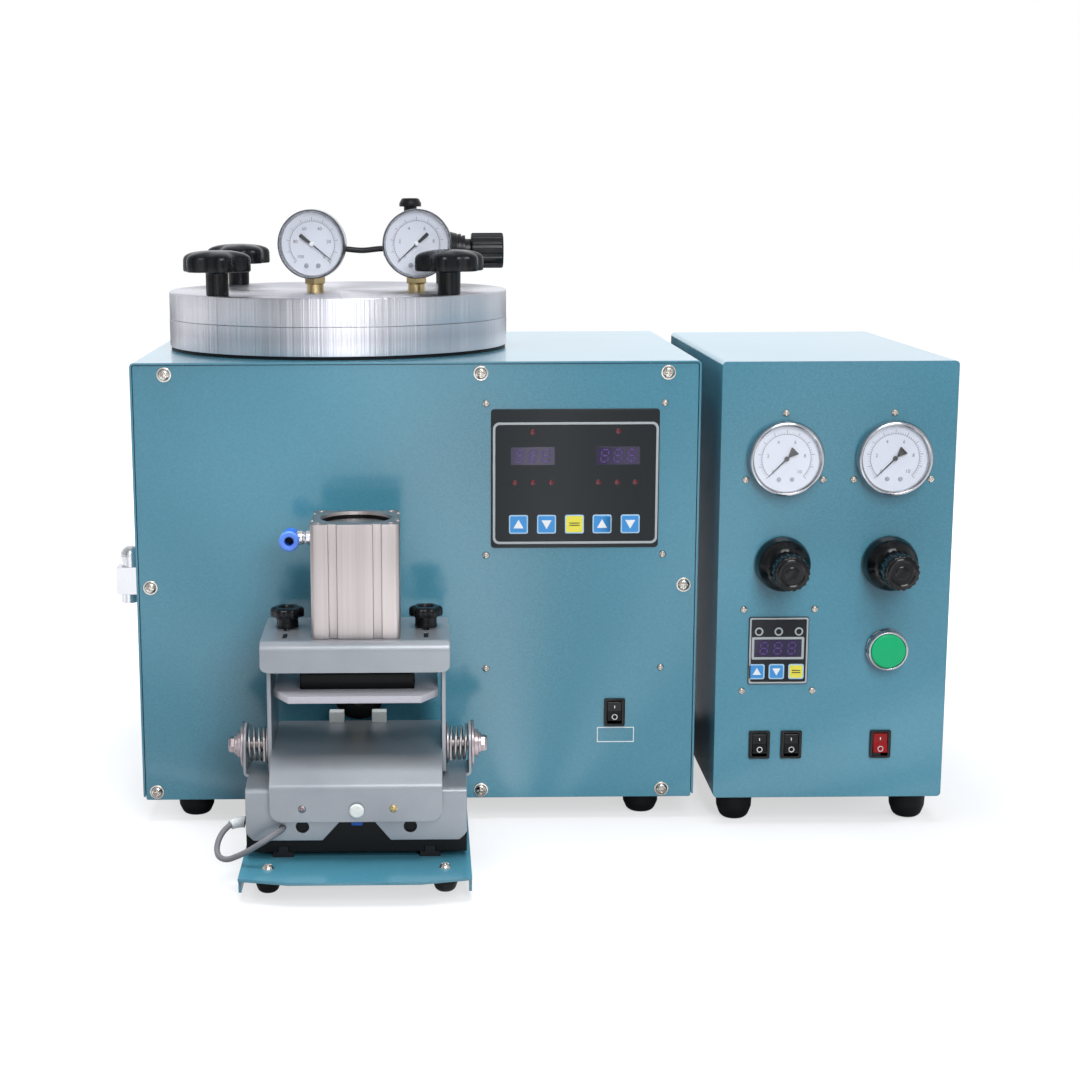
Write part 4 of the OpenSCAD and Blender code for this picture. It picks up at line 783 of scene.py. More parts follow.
def cut(shape, *tools):
    """The shape with holes where the closed tool shapes pass through it."""
    made = []
    for points, faces in (shape, *tools):
        mesh = bpy.data.meshes.new("cut")
        merged(mesh, points, faces, 1e-4)
        made.append(bpy.data.objects.new("cut", mesh))
        bpy.context.scene.collection.objects.link(made[-1])
    for tool in made[1:]:
        holes = made[0].modifiers.new("hole", "BOOLEAN")
        holes.operation = "DIFFERENCE"
        holes.solver = "EXACT"
        holes.object = tool
    bpy.context.view_layer.update()
    result = read(made[0].evaluated_get(bpy.context.evaluated_depsgraph_get()).to_mesh())
    for body in made:
        bpy.data.objects.remove(body)
    return result


def prism(outline, axis, start, stop):
    """An outline carried straight along an axis: (x, z) for y, (y, z) for x and (x, y) for z."""
    order = {"x": (2, 0, 1), "y": (0, 2, 1), "z": (0, 1, 2)}[axis]
    return capped(np.array([np.c_[outline, np.full(len(outline), end)][:, order]
                            for end in (start, stop)]))


def both(*shapes):
    """The shapes and their mirror images about the clamp's middle."""
    return [*shapes, *((points * [-1, 1, 1] + [2 * CLAMP_X, 0, 0], [face[::-1] for face in faces])
                       for points, faces in shapes)]


def round_foot(path, foot, half, radius):
    """The half width at each point of a path whose sheet has round lower corners: at the height
    h over its foot it is half - radius + sqrt(radius^2 - (radius - h)^2)."""
    lift = np.clip(path[:, 1] - foot, 0, radius)
    full = radius ** 2
    return half - radius + np.sqrt(np.clip(full - (radius - lift) ** 2, 0.01, full))


PIVOT_Y, PIVOT_Z = -80.0, 82.5
SHELF_Z, YOKE_FRONT, YOKE_LOW, YOKE_HALF = 65.0, -129.5, 29.0, 75.0
ARM_X, ARM_HALF = 79.0, 15.5
yoke_path = spaced(rounded([(-40, SHELF_Z), (YOKE_FRONT, SHELF_Z, 3.5), (YOKE_FRONT, YOKE_LOW)], 6), 3)
CHAMFER, ARM_FRONT = 4.6, -115
rise = np.clip((YOKE_LOW + CHAMFER - yoke_path[:, 1]) / CHAMFER, 0, 1) * 5
reach = np.where(yoke_path[:, 0] > ARM_FRONT, ARM_X - 3.5, YOKE_HALF) - rise
yoke_sheet = folded(yoke_path, CLAMP_X - reach, CLAMP_X + reach, PLATE_T)
notch = rounded([(-25, YOKE_LOW - 2), (-12, 41.3, 1.5), (-12, 60, 3), (13, 60, 3),
                 (13, 41.3, 1.5), (25, YOKE_LOW - 2)])
yoke_holes = [prism(line, "y", -134, -126.5) for line in (
    notch + [CLAMP_X, 0], circle(4.5, (CLAMP_X - 36.6, 38.6)), circle(4.5, (CLAMP_X + 36.6, 38.6)),
    circle(2.3, (-92, 38)))]
ARM_FOOT, ARM_Z = 75.4, SHELF_Z - PLATE_T
arm_path = spaced(rounded([(CLAMP_X - ARM_FOOT, ARM_Z), (CLAMP_X - ARM_X, ARM_Z, 3.5),
                           (CLAMP_X - ARM_X, PIVOT_Z + ARM_HALF)], 6), 1.5)[::-1]
above = np.clip((arm_path[:, 1] - PIVOT_Z) / ARM_HALF, 0, 1)
arm_half = ARM_HALF * np.sqrt(np.clip(1 - above ** 2, 0.0004, 1))
arm = folded(arm_path, PIVOT_Y - arm_half, PIVOT_Y + arm_half, PLATE_T, across="y")
piece("yoke_sheet", "carriage", "grey_paint", [(grey_paint, cut(yoke_sheet, *yoke_holes), *both(arm))],
      "yoke")

# ---- Pivot bolts and springs ----
# Zinc plated bolts with a wide washer, two steps and a chamfered hexagon outside and a thin
# washer inside, and a wound torsion spring of some three turns between ear and tray.
zinc_plate = plain("bright_zinc_plate", "#aba0a3", 0.36, metal=1.0, speck_mm=1.6, speck=0.06)
spring_steel = plain("spring_steel_wire", "#c9c7c4", 0.34, metal=1.0, speck_mm=0.6, speck=0.08)
SIDE_IN, SIDE_T, WASHER_T = 58.8, 2.8, 1.5
ear, pivot = (CLAMP_X - ARM_X, PIVOT_Y, PIVOT_Z), (CLAMP_X, PIVOT_Y, PIVOT_Z)
inner = SIDE_IN + SIDE_T + 0.3
hexagon = [(0, 6.8), (5.8, 6.8), (5.8, 9.5, 0.5), (4.9, 11.3, 0.6), (0, 11.3)]
piece("pivot_bolts_dressed", "carriage", "steel", [(zinc_plate, *both(
    rod(16, 0.05, 2, ear, LEFT, 72, (0.4, 0.6), bore=4.2), rod(9.5, 1.9, 5, ear, LEFT, 64, (0.3, 0.5)),
    rod(7.5, 4.9, 6.9, ear, LEFT, 64, (0.2, 0.4)), lathe(hexagon, ear, LEFT, 6),
    rod(4, SIDE_IN, ARM_X + 2, pivot, LEFT, 32),
    rod(14, inner, inner + WASHER_T, pivot, LEFT, 64, (0.3, 0.4), bore=4.2)))], "pivot_bolts")
WIRE, COIL_R, TURNS = 1.8, 11.1, 3.25
COIL_GAP = 0.3
coil_from = ARM_X - PLATE_T - COIL_GAP - WIRE / 2
coil_to = inner + WASHER_T + COIL_GAP + WIRE / 2
turn = np.linspace(0, TURNS, 157)
spin = math.pi / 2 + turn * 2 * math.pi
coil = np.c_[coil_from + (coil_to - coil_from) * turn / TURNS, COIL_R * np.cos(spin),
             COIL_R * np.sin(spin)]
leg = np.linspace(9, 1, 5)[:, None]
last_way = [0, -math.sin(spin[-1]), math.cos(spin[-1])]
wire = np.concatenate([coil[0] + leg * [0, 1, 0], coil, coil[-1] + leg[::-1] * last_way])
spring = placed(tube(wire * [-1, 1, 1], WIRE / 2, 12), pivot)
piece("pivot_spring_coils", "carriage", "steel", [(spring_steel, *both(spring))], "pivot_springs")

# ---- Mould tray with its stops, button and screws ----
# One sheet folded down at the front to an apron with rounded corners, between side plates
# that carry the beam. White nylon stops, a push button and two screws sit on it.
TRAY_Z, TRAY_BEND, APRON_Y, APRON_FOOT, TRAY_HALF = 84.0, -120.5, -135.0, 43.6, 58.5
tray_path = spaced(rounded([(-26, TRAY_Z), (TRAY_BEND, TRAY_Z, 22), (APRON_Y, 68, 6),
                            (APRON_Y, APRON_FOOT)], 10), 1.0)
tray_half = round_foot(tray_path, APRON_FOOT, TRAY_HALF, 8)
tray = folded(tray_path, CLAMP_X - tray_half, CLAMP_X + tray_half, PLATE_T)
BUTTON_X, BUTTON_Z = CLAMP_X + 0.5, 52
SIDE_TOP, SIDE_BACK, SIDE_FRONT = 162.92, -37.0, -100.0
side_x = CLAMP_X - SIDE_IN - SIDE_T + 0.31
side_path = spaced(rounded([(CLAMP_X - 39, SIDE_TOP), (side_x, SIDE_TOP, 4.5), (side_x, 68)], 6), 2)
side_low = SIDE_FRONT + np.clip((side_path[:, 1] - SIDE_TOP + 30) / 30, 0, 1) * 6
side_low = np.where(side_path[:, 0] > side_x + 4, SIDE_FRONT + 8, side_low)
side_high = SIDE_BACK - np.clip((76 - side_path[:, 1]) / 8, 0, 1) * 23
side_plate = folded(side_path, side_low, side_high, SIDE_T, across="y")
nylon = plain("white_nylon", "#dfe3e0", 0.42, speck=0.03)
switch_blue = plain("blue_switch_body", "#1d4f9e", 0.4)
piece("mould_tray_sheet", "head", "grey_paint", [
    (grey_paint, cut(tray, prism(circle(4.3, (BUTTON_X, BUTTON_Z)), "y", APRON_Y - 3, APRON_Y + 5)),
     *both(side_plate)),
    (zinc_plate, cross_head((-78.3, APRON_Y + 0.02, 53), FRONT, 2.75, 1.7)),
    (turned_brass, cross_head((-16.7, APRON_Y + 0.02, 53), FRONT, 2.75, 1.7)),
    (switch_blue, block((CLAMP_X - 3.4, APRON_Y + 2, 40.4), (CLAMP_X + 4.4, APRON_Y + 9.5, 57), 0.8))],
    "mould_tray")
piece("mould_stop_blocks", "head", "white_plastic", [
    (nylon, *(block((x - 5.3, -32, TRAY_Z), (x + 5.3, -24, TRAY_Z + 8), 0.8)
              for x in (-58.9, -28.1)))], "mould_stops")
cap = [(0, -2.6), (4, -2.6, 0.2), (4, 1.55), (5, 1.55, 0.2), (5, 2.5, 0.5), (4.1, 3.5, 0.8), (0, 3.75)]
piece("clamp_button_cap", "clamp_button", "white_plastic",
      [(nylon, lathe(cap, (BUTTON_X, APRON_Y, BUTTON_Z), FRONT, 48))], "clamp_button")

# ---- Button cable ----
# A grey 4 mm cable out of the carriage block's side through a short cloudy sleeve, in one
# loop that hangs to the base plate, and up behind the apron. The carriage holds both ends.
cable_grey = plain("grey_pvc_cable", "#6f7075", 0.5, speck_mm=2.5, speck=0.04)
sleeve_pvc = plain("cloudy_pvc_sleeve", "#c3c9cb", 0.25, speck=0.05)
cable_line = smooth_route([
    (-117.1, -112, 36.5), (-121.2, -112, 36.6), (-126.2, -113, 36), (-130, -115, 34.6),
    (-134, -118, 31.1), (-136.6, -122, 26.6), (-137.2, -127, 21.8), (-135, -132, 18.6),
    (-129.4, -137, 18.6), (-122.2, -141, 22.2), (-114.2, -144, 27), (-106.5, -145, 32),
    (-100, -142.8, 35.5), (-95.4, -138.8, 37.5), (-92.8, -134.6, 38), (-92, -131, 38),
    (-92, -127.6, 38)])
cable = piece("button_cable_loop", "carriage", "grey_cable", [(cable_grey, tube(cable_line, 2.0, 20))],
              "button_cable")
sleeve_line = cable_line[3:17]
sleeve_radius = np.linspace(4.0, 3.4, len(sleeve_line))
sleeve = piece("cable_sleeve", "carriage", "white_plastic",
               [(sleeve_pvc, tube(sleeve_line, sleeve_radius, 24))])

# ---- Beam, thumb knobs and air cylinder ----
# The beam slides in two slots under black thumb knobs, has a strip of painted shade in an oblong hole
# ahead of each, and carries a square, clear anodised air cylinder with a recessed cap.
BEAM_Z, BEAM_FRONT, BEAM_BACK, BEAM_HALF, LIP_Z = 165.0, -122.0, -45.0, 64.0, 144.0
beam_path = spaced(rounded([(BEAM_BACK, BEAM_Z), (BEAM_FRONT, BEAM_Z, 7), (BEAM_FRONT, LIP_Z)], 10), 1.0)
beam_half = round_foot(beam_path, LIP_Z, BEAM_HALF, 5)
beam = folded(beam_path, CLAMP_X - beam_half, CLAMP_X + beam_half, PLATE_T)
KNOB_X, KNOB_Y = 48.0, -74.0
CYL_X, CYL_Y, CYL_HALF, CYL_HIGH = CLAMP_X + 0.5, -82.5, 30.0, 78.5
# Black inserts of painted shade: strips under the beam's oblong holes and a disc inside the elbow's
# bore.
painted_shade_black = plain("painted_shade_in_holes", "#0d0f16", 0.6)
slots, strips = [circle(12, (CYL_X, CYL_Y))], []
for x in (CLAMP_X - KNOB_X, CLAMP_X + KNOB_X):
    strips.append(block((x - 1.5, -108.4, BEAM_Z - 2), (x + 1.5, -93.6, BEAM_Z - 0.35), 1.4))
    for half, front, back in ((2.2, KNOB_Y - 11, KNOB_Y + 5), (1.6, -107, -95)):
        slots.append(np.r_[circle(half, (x, back), 13, 0, 180), circle(half, (x, front), 13, 180, 360)])
holes = [prism(slot, "z", BEAM_Z - 2 * PLATE_T, BEAM_Z + PLATE_T) for slot in slots]
piece("beam_sheet", "beam", "grey_paint", [(grey_paint, cut(beam, *holes)), (painted_shade_black, *strips)],
      "top_beam")


def lobed(low, high, reach, lobes, depth, core, turns=144):
    """A thumb knob's head: between low and high its radius is the reach less the depth of the
    hollows between lobes, rounded at both rims, with a sunk centre as wide as the core."""
    t = angles(turns)
    outer = reach - depth * np.clip(0.5 - 0.5 * np.cos(lobes * t), 0, 1) ** 1.4
    rims = ((1.2, low), (0.3, low + 0.3), (0, low + 1.2), (0, high - 2.4), (0.3, high - 1.4),
            (1.1, high - 0.5), (2.4, high))
    rows = [(2, low), *((outer - inset, z) for inset, z in rims), (core, high),
            (core - 0.5, high - 1.2), (0, high - 1.2)]
    return capped(np.array([np.c_[r * np.cos(t), r * np.sin(t), z + 0 * t] for r, z in rows]))


for number, x in ((1, CLAMP_X - KNOB_X), (2, CLAMP_X + KNOB_X)):
    spot = (x, KNOB_Y, BEAM_Z)
    neck = [(0, 0.05), (7.9, 0.05, 0.6), (7.5, 3.5, 1), (7.5, 8.4), (0, 8.4)]
    piece(f"beam_knob_{number}_dressed", f"beam_knob_{number}", "black_plastic", [
        (black_phenolic, placed(lobed(7.6, 14.5, 11.7, 6, 1.6, 6), spot), lathe(neck, spot, UP, 48)),
        (zinc_steel, rod(2, -9, 0.1, spot, UP, 24))], f"beam_knob_{number}")


def extruded_metal(name, code, dark, rough, line_mm):
    """Drawn aluminium: streaks line_mm apart run up the piece, between two tones."""
    material, tree, where = blank(name)
    drawn = add(tree, "Mapping", {"Vector": where, "Scale": (1, 1, 0.012)})[0]
    fine = noise(tree, drawn, 1000 / line_mm, 3.0)
    broad = noise(tree, drawn, 90.0, 1.0)
    return finished(material, {
        "Base Color": two_tone(tree, fine, 0.8, broad, 0.6, 1.2, dark, code),
        "Normal": dented(tree, fine, 0.2, 0.0001, 0.0006), "Metallic": 1.0, "Roughness": rough})


def grooved_square(half, corner, spots, mouth, deep):
    """A square with rounded corners and straight grooves of the given mouth in each side."""
    side = [(-half + corner, -half)]
    for spot in spots:
        for s, inset in ((-1, 0), (-1, 0.3), (-1, deep), (1, deep), (1, 0.3), (1, 0)):
            side.append((spot + s * (mouth / 2 + (0.3 if inset == 0 else 0)), -half + inset))
    side = np.r_[side, circle(corner, (half - corner, -half + corner), 7, 270, 360)[:-1]]
    turns = [np.array([[c, s], [-s, c]]) for c, s in ((1, 0), (0, 1), (-1, 0), (0, -1))]
    return np.concatenate([side @ turn for turn in turns])


anodised = extruded_metal("clear_anodised_aluminium", "#c2bab9", "#b1a9a8", 0.42, 1.6)
cyl_foot = (CYL_X, CYL_Y, BEAM_Z)
screw_spots = [(x, y) for x in (-24.3, 24.3) for y in (-24.3, 24.3)]
barrel = plate(grooved_square(CYL_HALF, 3, (-15.0, 15.0), 5.6, 1.8), CYL_HIGH, bevel=0.5,
               holes=[circle(24.2, steps=72), *(circle(3.0, spot, 24) for spot in screw_spots)])
painted_shade_liner = [(12, 0.5), (24.3, 0.5), (24.3, CYL_HIGH - 2.2), (23.3, CYL_HIGH - 2.2),
         (23.3, CYL_HIGH - 5.2), (12, CYL_HIGH - 5.2)]
end_cap = [(0, CYL_HIGH - 7), (22.6, CYL_HIGH - 7), (22.6, CYL_HIGH - 4.9, 0.4),
           (21.8, CYL_HIGH - 4.4, 0.5), (0, CYL_HIGH - 4.4)]
socket = [(0, -5), (2.9, -5), (2.9, -1.4, 0.3), (2.3, -0.9, 0.2), (1.5, -0.9), (1.5, -3), (0, -3)]
piece("air_cylinder_dressed", "beam", "aluminium", [
    (anodised, placed(barrel, cyl_foot), lathe(end_cap, cyl_foot, UP, 72)),
    # The black liner shows as a dark ring of painted shade on the bore's wall above the recessed cap.
    (black_anodised, lathe(painted_shade_liner, cyl_foot, UP, 72)),
    (zinc_steel, *(lathe(socket, (CYL_X + x, CYL_Y + y, BEAM_Z + CYL_HIGH), UP, 24)
                   for x, y in screw_spots))], "air_cylinder")

# ---- Elbow fitting ----
# A nickel plated collar and a blue push-in body that swivels on it, with its light blue
# release ring round a bore closed by a dark disc of painted shade, facing forward.
fitting_blue = plain("blue_acetal", "#2a62d8", 0.3, speck=0.05)
ring_blue = plain("light_blue_release_ring", "#5e8df0", 0.32, speck=0.05)
x, y, z = CYL_X - CYL_HALF, CYL_Y + 24, BEAM_Z + CYL_HIGH - 18
mouth = (x - 16.4, y, z)
collar = [(0, -4), (4, -4, 0.4), (4, 0.1), (5.2, 0.1, 0.4), (5.2, 5.6, 0.6), (4.4, 6.4, 0.4),
          (4.4, 12.5), (0, 12.5)]
release = [(3.1, 13), (6.0, 13), (7.0, 14.6, 0.4), (7.0, 17, 0.6), (6.2, 18, 0.5), (3.7, 18, 0.4),
           (3.1, 17.2, 0.2)]
piece("elbow_fitting_dressed", "elbow", "blue_plastic", [
    (polished_nickel, lathe(collar, (x, y, z), LEFT, 48),
     rod(5.2, 0, 4.5, (x - 7.4, y, z), LEFT, 40, (0.8, 0.3))),
    (fitting_blue, rod(5.9, -6, 6, mouth, FRONT, 40, (2.2, 0.3)),
     rod(5.8, 4, 14.2, mouth, FRONT, 48, (0.6, 0.4), bore=3.1)),
    (ring_blue, lathe(release, mouth, FRONT, 48)),
    # A dark disc inside the bore, painted as its shade.
    (painted_shade_black, rod(3.15, 6, 6.6, mouth, FRONT, 32))], "elbow_fitting")

# ---- Pressure plate ----
# A matt anodised aluminium plate with chamfered front corners, screwed under a black block on
# the piston's steel rod.
matt_plate = plain("matt_anodised_plate", "#c0bfc8", 0.5, metal=0.15, speck_mm=1.0, speck=0.04)
PRESS_LOW, PRESS_T = 120.7, 5.3
PRESS_TOP = PRESS_LOW + PRESS_T
press_line = [(-57, -50), (-57, -95), (-46, -115), (44.5, -115), (56, -97), (56, -50)]
press_rod = [(0, PRESS_TOP - 0.1), (8, PRESS_TOP - 0.1), (8, 204.6), (25, 204.6, 0.5),
             (25, 212.5, 0.5), (0, 212.5)]
piece("press_plate_dressed", "press", "aluminium", [
    (matt_plate, placed(plate(press_line, PRESS_T, bevel=0.7), (CLAMP_X, 0, PRESS_LOW))),
    (black_anodised, block((CYL_X - 39.5, CYL_Y - 14, PRESS_TOP - 0.05),
                           (CYL_X + 39.5, CYL_Y + 14, PRESS_TOP + 10.95), 1.5)),
    (zinc_plate, lathe(press_rod, (CYL_X, CYL_Y, 0), UP, 48))], "press_plate")

# ---- Rocker switches ----
# Snap-in rockers: a black frame with a rounded lip, and a paddle with a ridge at its middle,
# marked with a white line and ring. The control box's power rocker is clear red and lit.
glossy_black = plain("glossy_black_abs", "#060709", 0.16, speck_mm=3.0, speck=0.1, dent=0.03,
                     shine=0.35)
mark_ink = plain("white_marking_ink", "#e9edf0", 0.5, speck=0.02)
lit_red = finished(plain("lit_red_polycarbonate", "#8a0e13", 0.2, speck=0.05, shine=0.2),
                   {"Emission Color": colour("#d02028"), "Emission Strength": 0.05})
VIEW = (RIGHT, UP, FRONT)
ROCKER_TILT = unit(-8)
TILTED = (RIGHT, (0, ROCKER_TILT[0], ROCKER_TILT[1]), (0, -ROCKER_TILT[1], ROCKER_TILT[0]))


def oblong(wide, high, corner, steps=4):
    """A rectangle with rounded corners round the origin."""
    x, y = wide / 2, high / 2
    return rounded([(-x, -y, corner), (x, -y, corner), (x, y, corner), (-x, y, corner)], steps)


def printed(outline, spot, level, holes=(), thick=0.1):
    """One printed layer on a panel: the level lifts each layer a little above the last."""
    return placed(plate(outline, thick, holes), (spot[0], spot[1] - level, spot[2]), *VIEW)


def rim_line(spot, level, wide, high, rim, corner, inner, thick=0.1):
    """A printed frame whose line is as wide as the rim."""
    hole = oblong(wide - 2 * rim, high - 2 * rim, inner)
    return printed(oblong(wide, high, corner), spot, level, [hole], thick)


SWITCHES = {"main_rocker": (145.5, 0.0, 82.0), "forward_rocker": (250.6, BOX_FRONT, 61.2),
            "clamp_rocker": (274.0, BOX_FRONT, 61.2), "power_rocker": (339.6, BOX_FRONT, 61.2)}
opening = [oblong(10.8, 17.4, 0.4)]
frames = []
for x, y, z in SWITCHES.values():
    frames.append(placed(plate(oblong(15.5, 21, 1.2), 2.0, opening, 0.35), (x, y, z), *VIEW))
    frames.append(placed(plate(oblong(12.8, 19, 0.6), 20, opening), (x, y + 19.9, z), *VIEW))
piece("rocker_frames", "base", "satin_black", [(glossy_black, *frames)], "switch_frames")
paddle = prism(rounded([(2.5, -3), (-2, -7.4, 0.4), (-6.4, -7.2, 0.8), (-5.2, 0, 3.5),
                        (-6.4, 7.2, 0.8), (-2, 7.4, 0.4), (2.5, 3)], 6), "x", -5.1, 5.1)
ring = rod(2.1, 0, PRINT, (0, -4.2, 6.35), (0, -0.09, 1), 32, bore=1.6)
line = placed(plate(oblong(0.7, 3.6, 0.1), PRINT), (0, 4.1, 5.82), RIGHT, (0, 1, -0.15), (0, 0.15, 1))
for name, (x, y, z) in SWITCHES.items():
    face, slot = (lit_red, "red_plastic") if name == "power_rocker" else (glossy_black, "satin_black")
    hinge = (x, y + 4, z)
    marks = [placed(placed(mark, ORIGIN, *VIEW), hinge, *TILTED) for mark in (ring, line)]
    piece(name + "_paddle", name, slot, [
        (face, placed(paddle, hinge, *TILTED), rod(0.95, -6.3, 6.3, hinge, RIGHT, 20)),
        (mark_ink, *marks)], name)
piece("power_label_frame", "base", "white_plastic", [
    (mark_ink, rim_line((146.5, 0, 64.5), 0.02, 27.5, 11.6, 0.7, 0.4, 0.2, PRINT))])

# ---- Panel gauges of the control box ----
# Two gauges like those on the lid, with a wide polished bezel that drops through the panel,
# a scale marked 0 to 10 and a pointer that rests at zero.
BOX_DIAL = 5.4
box_gauges = []
for x in (LEFT_COLUMN, RIGHT_COLUMN):
    face = dial(23.8, 225, -270, 2, BOX_DIAL)
    face.append((ring_ink, *(lathe([(0, 0), (1.6, 0), (1.5, 0.4), (0, 0.6)], (sx, -15, BOX_DIAL),
                                   UP, 24) for sx in (-5.0, 4.4))))
    bezel = [(17, -0.2), (26.2, 0.0, 0.3), (27, 1.4, 0.6), (27, 7.6, 0.8), (26.2, 9.4, 0.6),
             (25.0, 10, 0.6), (23.7, 9.0, 0.4), (23.7, 4.4), (20, 4.4), (17, 4.4)]
    face.append((spun_steel, lathe(bezel, ORIGIN, UP, 120)))
    face.append((gauge_glass, rod(23.75, 8.2, 8.8, ORIGIN, UP, 72)))
    face.append((zinc_plate, lathe([(0, -22), (24, -22, 2), (24.4, -0.2), (0, -0.2)], ORIGIN, UP, 72)))
    face.append((turned_brass, lathe([(0, -38), (5, -38), (5, -30), (8, -30), (8, -21), (0, -21)],
                                     ORIGIN, UP, 32)))
    box_gauges += moved(face, (x, BOX_FRONT, GAUGE_HIGH), VIEW)
piece("panel_gauges_dressed", "base", "nickel", box_gauges, "panel_gauges")
for name, x in (("forward_pointer", LEFT_COLUMN), ("clamp_pointer", RIGHT_COLUMN)):
    pointer(name, (x, BOX_FRONT, GAUGE_HIGH), BOX_DIAL, VIEW, 225, scale_ink, 18.2, 8.6, 3.7, 0.6)

# ---- Regulators of the control box ----
# Panel mounted air regulators: a glossy black moulded bonnet, domed towards the panel, and a
# ribbed knob in front that screws in and out along its spindle.
BONNET_Z, BONNET_T = 196.7, 18.6
chassis_black = plain("die_cast_black", "#191a1d", 0.5, dent=0.15)
bonnets = []
dome = [(4.1, -0.1), (15.2, -0.1), (20, 0.0, 0.6), (20, 4.5, 4), (18.6, 11.5, 6), (14.4, 17.0, 4),
        (12.0, BONNET_T, 0.8), (4.1, BONNET_T)]
crown = [(0, 20.8), (10.6, 20.8), (10.6, 21.3, 0.4), (9.4, 22, 0.5), (8.2, 21.3, 0.8),
         (5, 21.1, 0.4), (4.2, 21.6, 0.4), (0, 21.8)]
for x in (LEFT_COLUMN, RIGHT_COLUMN):
    spot = (x, BOX_FRONT, BONNET_Z)
    body = block((x - 22, BOX_FRONT + 29, BONNET_Z - 22), (x + 22, BOX_FRONT + 73, BONNET_Z + 22), 3)
    bonnets += [(glossy_black, lathe(dome, spot, FRONT, 96, steps=6)),
                (chassis_black, rod(15, -30, -0.1, spot, FRONT, 64, (1, 0), bore=4.1), body)]
piece("regulator_bonnets", "base", "black_plastic", bonnets, "panel_regulators")
for name, x in (("forward_knob", LEFT_COLUMN), ("clamp_knob", RIGHT_COLUMN)):
    spot = (x, BOX_FRONT - BONNET_T, BONNET_Z)
    piece(name + "_grip", name, "black_plastic", [
        (glossy_black, placed(ribbed(13, 0, 21, 18, 0.6, 2.2), spot, *VIEW),
         lathe(crown, spot, FRONT, 64, steps=3)),
        (zinc_steel, rod(4, -29, 1, spot, FRONT, 24))], name)

# ---- Start button ----
# A green self-lit push cap, slightly domed, in a chrome plated bezel with a rounded lip. Its
# zinc plated barrel goes through the panel.
START_AT = (RIGHT_COLUMN + 0.3, BOX_FRONT, 132.7)
green_cap = finished(plain("lit_green_cap", "#119a62", 0.35, speck=0.03, shine=0.3),
                     {"Emission Color": colour("#1ec487"), "Emission Strength": 0.18})
bezel = [(9.1, -0.05), (15.5, 0.05, 0.4), (15.5, 2.2, 0.5), (14.7, 3.0, 0.3), (14.7, 7.4, 0.6),
         (13.9, 8.2, 0.4), (12.9, 8.0, 0.4), (12.9, 0.5), (9.1, 0.5)]
piece("start_button_bezel", "base", "nickel", [
    (spun_steel, lathe(bezel, START_AT, FRONT, 96)),
    (zinc_plate, rod(11.2, -30, 0.1, START_AT, FRONT, 48, bore=9.1))], "start_bezel")
cap = [(0, -12), (8.9, -12, 0.4), (8.9, 4.6), (12.5, 4.6, 0.2), (12.5, 8.0, 0.9), (11.6, 8.8, 1.5),
       (0, 9.2)]
piece("start_button_cap", "start_button", "green_plastic",
      [(green_cap, lathe(cap, START_AT, FRONT, 72))], "start_button")

# ---- Controller and counter panels ----
# Printed polyester films on the controller and the counter: dim violet seven segment figures
# behind tinted windows, small red lamps, and blue and yellow keys with white triangles.
film = plain("grey_printed_film", "#1e2225", 0.35, speck_mm=1.0, speck=0.03, dent=0.06, shine=0.3)
counter_film = plain("black_printed_film", "#101318", 0.3, speck=0.03, shine=0.3)
line_ink = plain("light_grey_ink", "#a9b0b3", 0.4, speck=0.02)
window = plain("violet_window", "#20153a", 0.1, speck=0.02, dent=0.0)
segment = plain("dim_violet_segment", "#4b2f7c", 0.25, speck=0.02, dent=0.0)
key_blue = plain("blue_key_ink", "#3f8fd0", 0.4, speck=0.02)
key_rim = plain("pale_blue_ink", "#a9cbe6", 0.4, speck=0.02)
key_yellow = plain("yellow_key_ink", "#e6dc4e", 0.4, speck=0.02)
lamp_red = plain("dark_red_lamp", "#5c1420", 0.15, speck=0.03)


def seven_segments(spot, level, high, wide=5.0):
    """A figure eight of seven bars with pointed ends, which leans to the right."""
    bars, gap, half = [], high * 0.06, high * 0.058
    for (x0, z0), (x1, z1) in (((0, 0), (1, 0)), ((0, 1), (1, 1)), ((0, 2), (1, 2)), ((0, 0), (0, 1)),
                               ((1, 0), (1, 1)), ((0, 1), (0, 2)), ((1, 1), (1, 2))):
        a, b = (np.array([(x - 0.5) * wide + (z - 1) * high * 0.06, (z - 1) * high / 2])
                for x, z in ((x0, z0), (x1, z1)))
        way = (b - a) / np.linalg.norm(b - a)
        side, tip = np.array([-way[1], way[0]]) * half, way * half
        a, b = a + way * gap, b - way * gap
        bars.append(printed([a, a + tip + side, b - tip + side, b, b - tip - side, a + tip - side],
                            spot, level))
    return bars


def display(spot, level, wide, high, corner, tall, pitch):
    """A tinted window with three figures, so tall and a pitch apart."""
    figures = [bar for dx in (-pitch, 0, pitch)
               for bar in seven_segments((spot[0] + dx, *spot[1:]), level + 0.1, tall)]
    return [(window, printed(oblong(wide, high, corner), spot, level)), (segment, *figures)]


def key(spot, wide, level, sign):
    """A blue key with a pale rim and a triangle, up or down as the sign says, or a yellow key
    with two bars where the sign is 0."""
    half = wide / 2
    parts = [(key_rim, rim_line(spot, level, wide, wide, 0.9, 1.5, 0.9)),
             (key_blue if sign else key_yellow,
              printed(oblong(wide - 1.8, wide - 1.8, 0.9), spot, level))]
    if sign:
        arrow = np.array([(-0.53, -0.42), (0.53, -0.42), (0, 0.52)]) * half * [1, sign]
        return parts + [(mark_ink, printed(arrow, spot, level + 0.1))]
    return parts + [(scale_ink, *(printed(oblong(half * 1.1, 0.7, 0.2), (*spot[:2], spot[2] + dz),
                                          level + 0.1) for dz in (-0.8, 0.8)))]


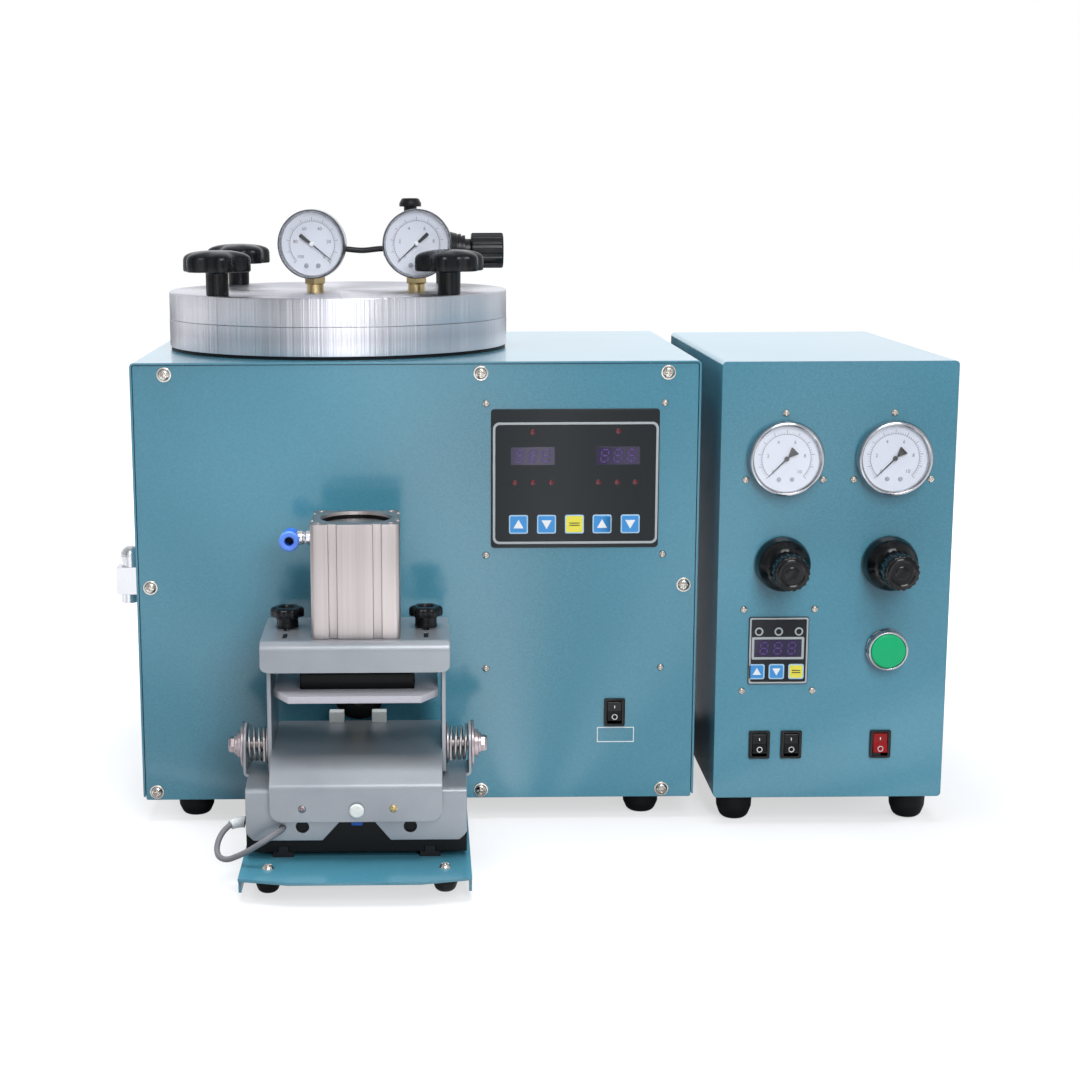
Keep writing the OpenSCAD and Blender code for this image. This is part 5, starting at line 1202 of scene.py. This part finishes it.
FILM_T = 1.2
controller = [
    (film, placed(plate(oblong(121.7, 101.4, 2.5), FILM_T, bevel=0.3), (114.7, 0, 257), *VIEW)),
    (line_ink, rim_line((115, 0, 253.6), FILM_T, 119.7, 89, 1.7, 4.5, 3.2))]
for x in (84.0, 145.6):
    controller += display((x, 0, 273.6), FILM_T, 32, 13, 0.5, 8.8, 9.6)
lamp_spots = [(83.7, 291.0), (145.7, 291.3)]
lamp_spots += [(x, 254.2) for x in (71.1, 84.1, 97.3, 131.7, 145.3, 158.3)]
controller.append((lamp_red, *(lathe([(0, 0), (1.9, 0), (1.9, 0.15, 0.1), (0, 0.5)],
                                     (x, -FILM_T, z), FRONT, 24) for x, z in lamp_spots)))
for x, sign in ((73.8, 1), (94.2, -1), (114.5, 0), (134.6, 1), (155.1, -1)):
    controller += key((x, 0, 223.6), 13.8, FILM_T, sign)
controller.append((chassis_black, block((58, -0.1, 211), (171.4, 46, 303), 2)))
piece("controller_face", "base", "panel_film", controller, "controller_panel")

COUNTER_T = 1.6
x, y, z = COUNTER_X, BOX_FRONT, COUNTER_Z
glass_at = (x - 0.5, y, z + 1.9)
counter = [
    (counter_film, placed(plate(oblong(43.5, 50, 1.5), COUNTER_T, bevel=0.3), (x, y, z), *VIEW)),
    (line_ink, rim_line((x, y, z), COUNTER_T, 42.6, 49.1, 1.2, 1.3, 1.0),
     *(rod(3.1, 0, PRINT, (x + dx, y - COUNTER_T, z + 14.3), FRONT, 32, bore=2.0)
       for dx in (-14.5, -0.2, 14.5)), rim_line(glass_at, COUNTER_T, 38, 16.7, 1.7, 0.8, 0.4))]
counter += display(glass_at, COUNTER_T, 34.6, 13.3, 0.4, 8.4, 10.1)
for dx, sign in ((-15.4, 1), (-1.1, -1), (13.2, 0)):
    counter += key((x + dx, y, z - 15.6), 11.3, COUNTER_T, sign)
counter.append((chassis_black, block((x - 18, y - 0.1, z - 21), (x + 18, y + 49.9, z + 21), 2)))
piece("counter_face", "base", "panel_film", counter, "counter_panel")

# ---- Drain tap, mains inlet and what is inside ----
# A nickel plated tap on the left wall, a fused inlet at the back, and behind the panels the
# pot's heater band, brass nozzle, vacuum pump, circuit board and valves.
mica_brass = plain("heater_band_brass", "#b89a5e", 0.4, metal=1.0, speck_mm=6.0, speck=0.15)
pump_grey = plain("cast_pump_housing", "#7b8085", 0.5, metal=0.4, speck_mm=1.0, speck=0.1, dent=0.3)
milled = extruded_metal("milled_aluminium", "#d6d3d8", "#b5b1b7", 0.3, 1.2)
lacquer = plain("green_circuit_lacquer", "#1d6b45", 0.3, speck_mm=2.0, speck=0.15)
for finish, name in (
        (polished_nickel, "drain_tap"), (black_nylon, "mains_inlet"), (turned_brass, "nozzle_tip"),
        (black_anodised, "nozzle_block"), (mica_brass, "heater_band"), (pump_grey, "vacuum_pump"),
        (milled, "valve_block"), (lacquer, "control_board")):
    dress(finish, name)
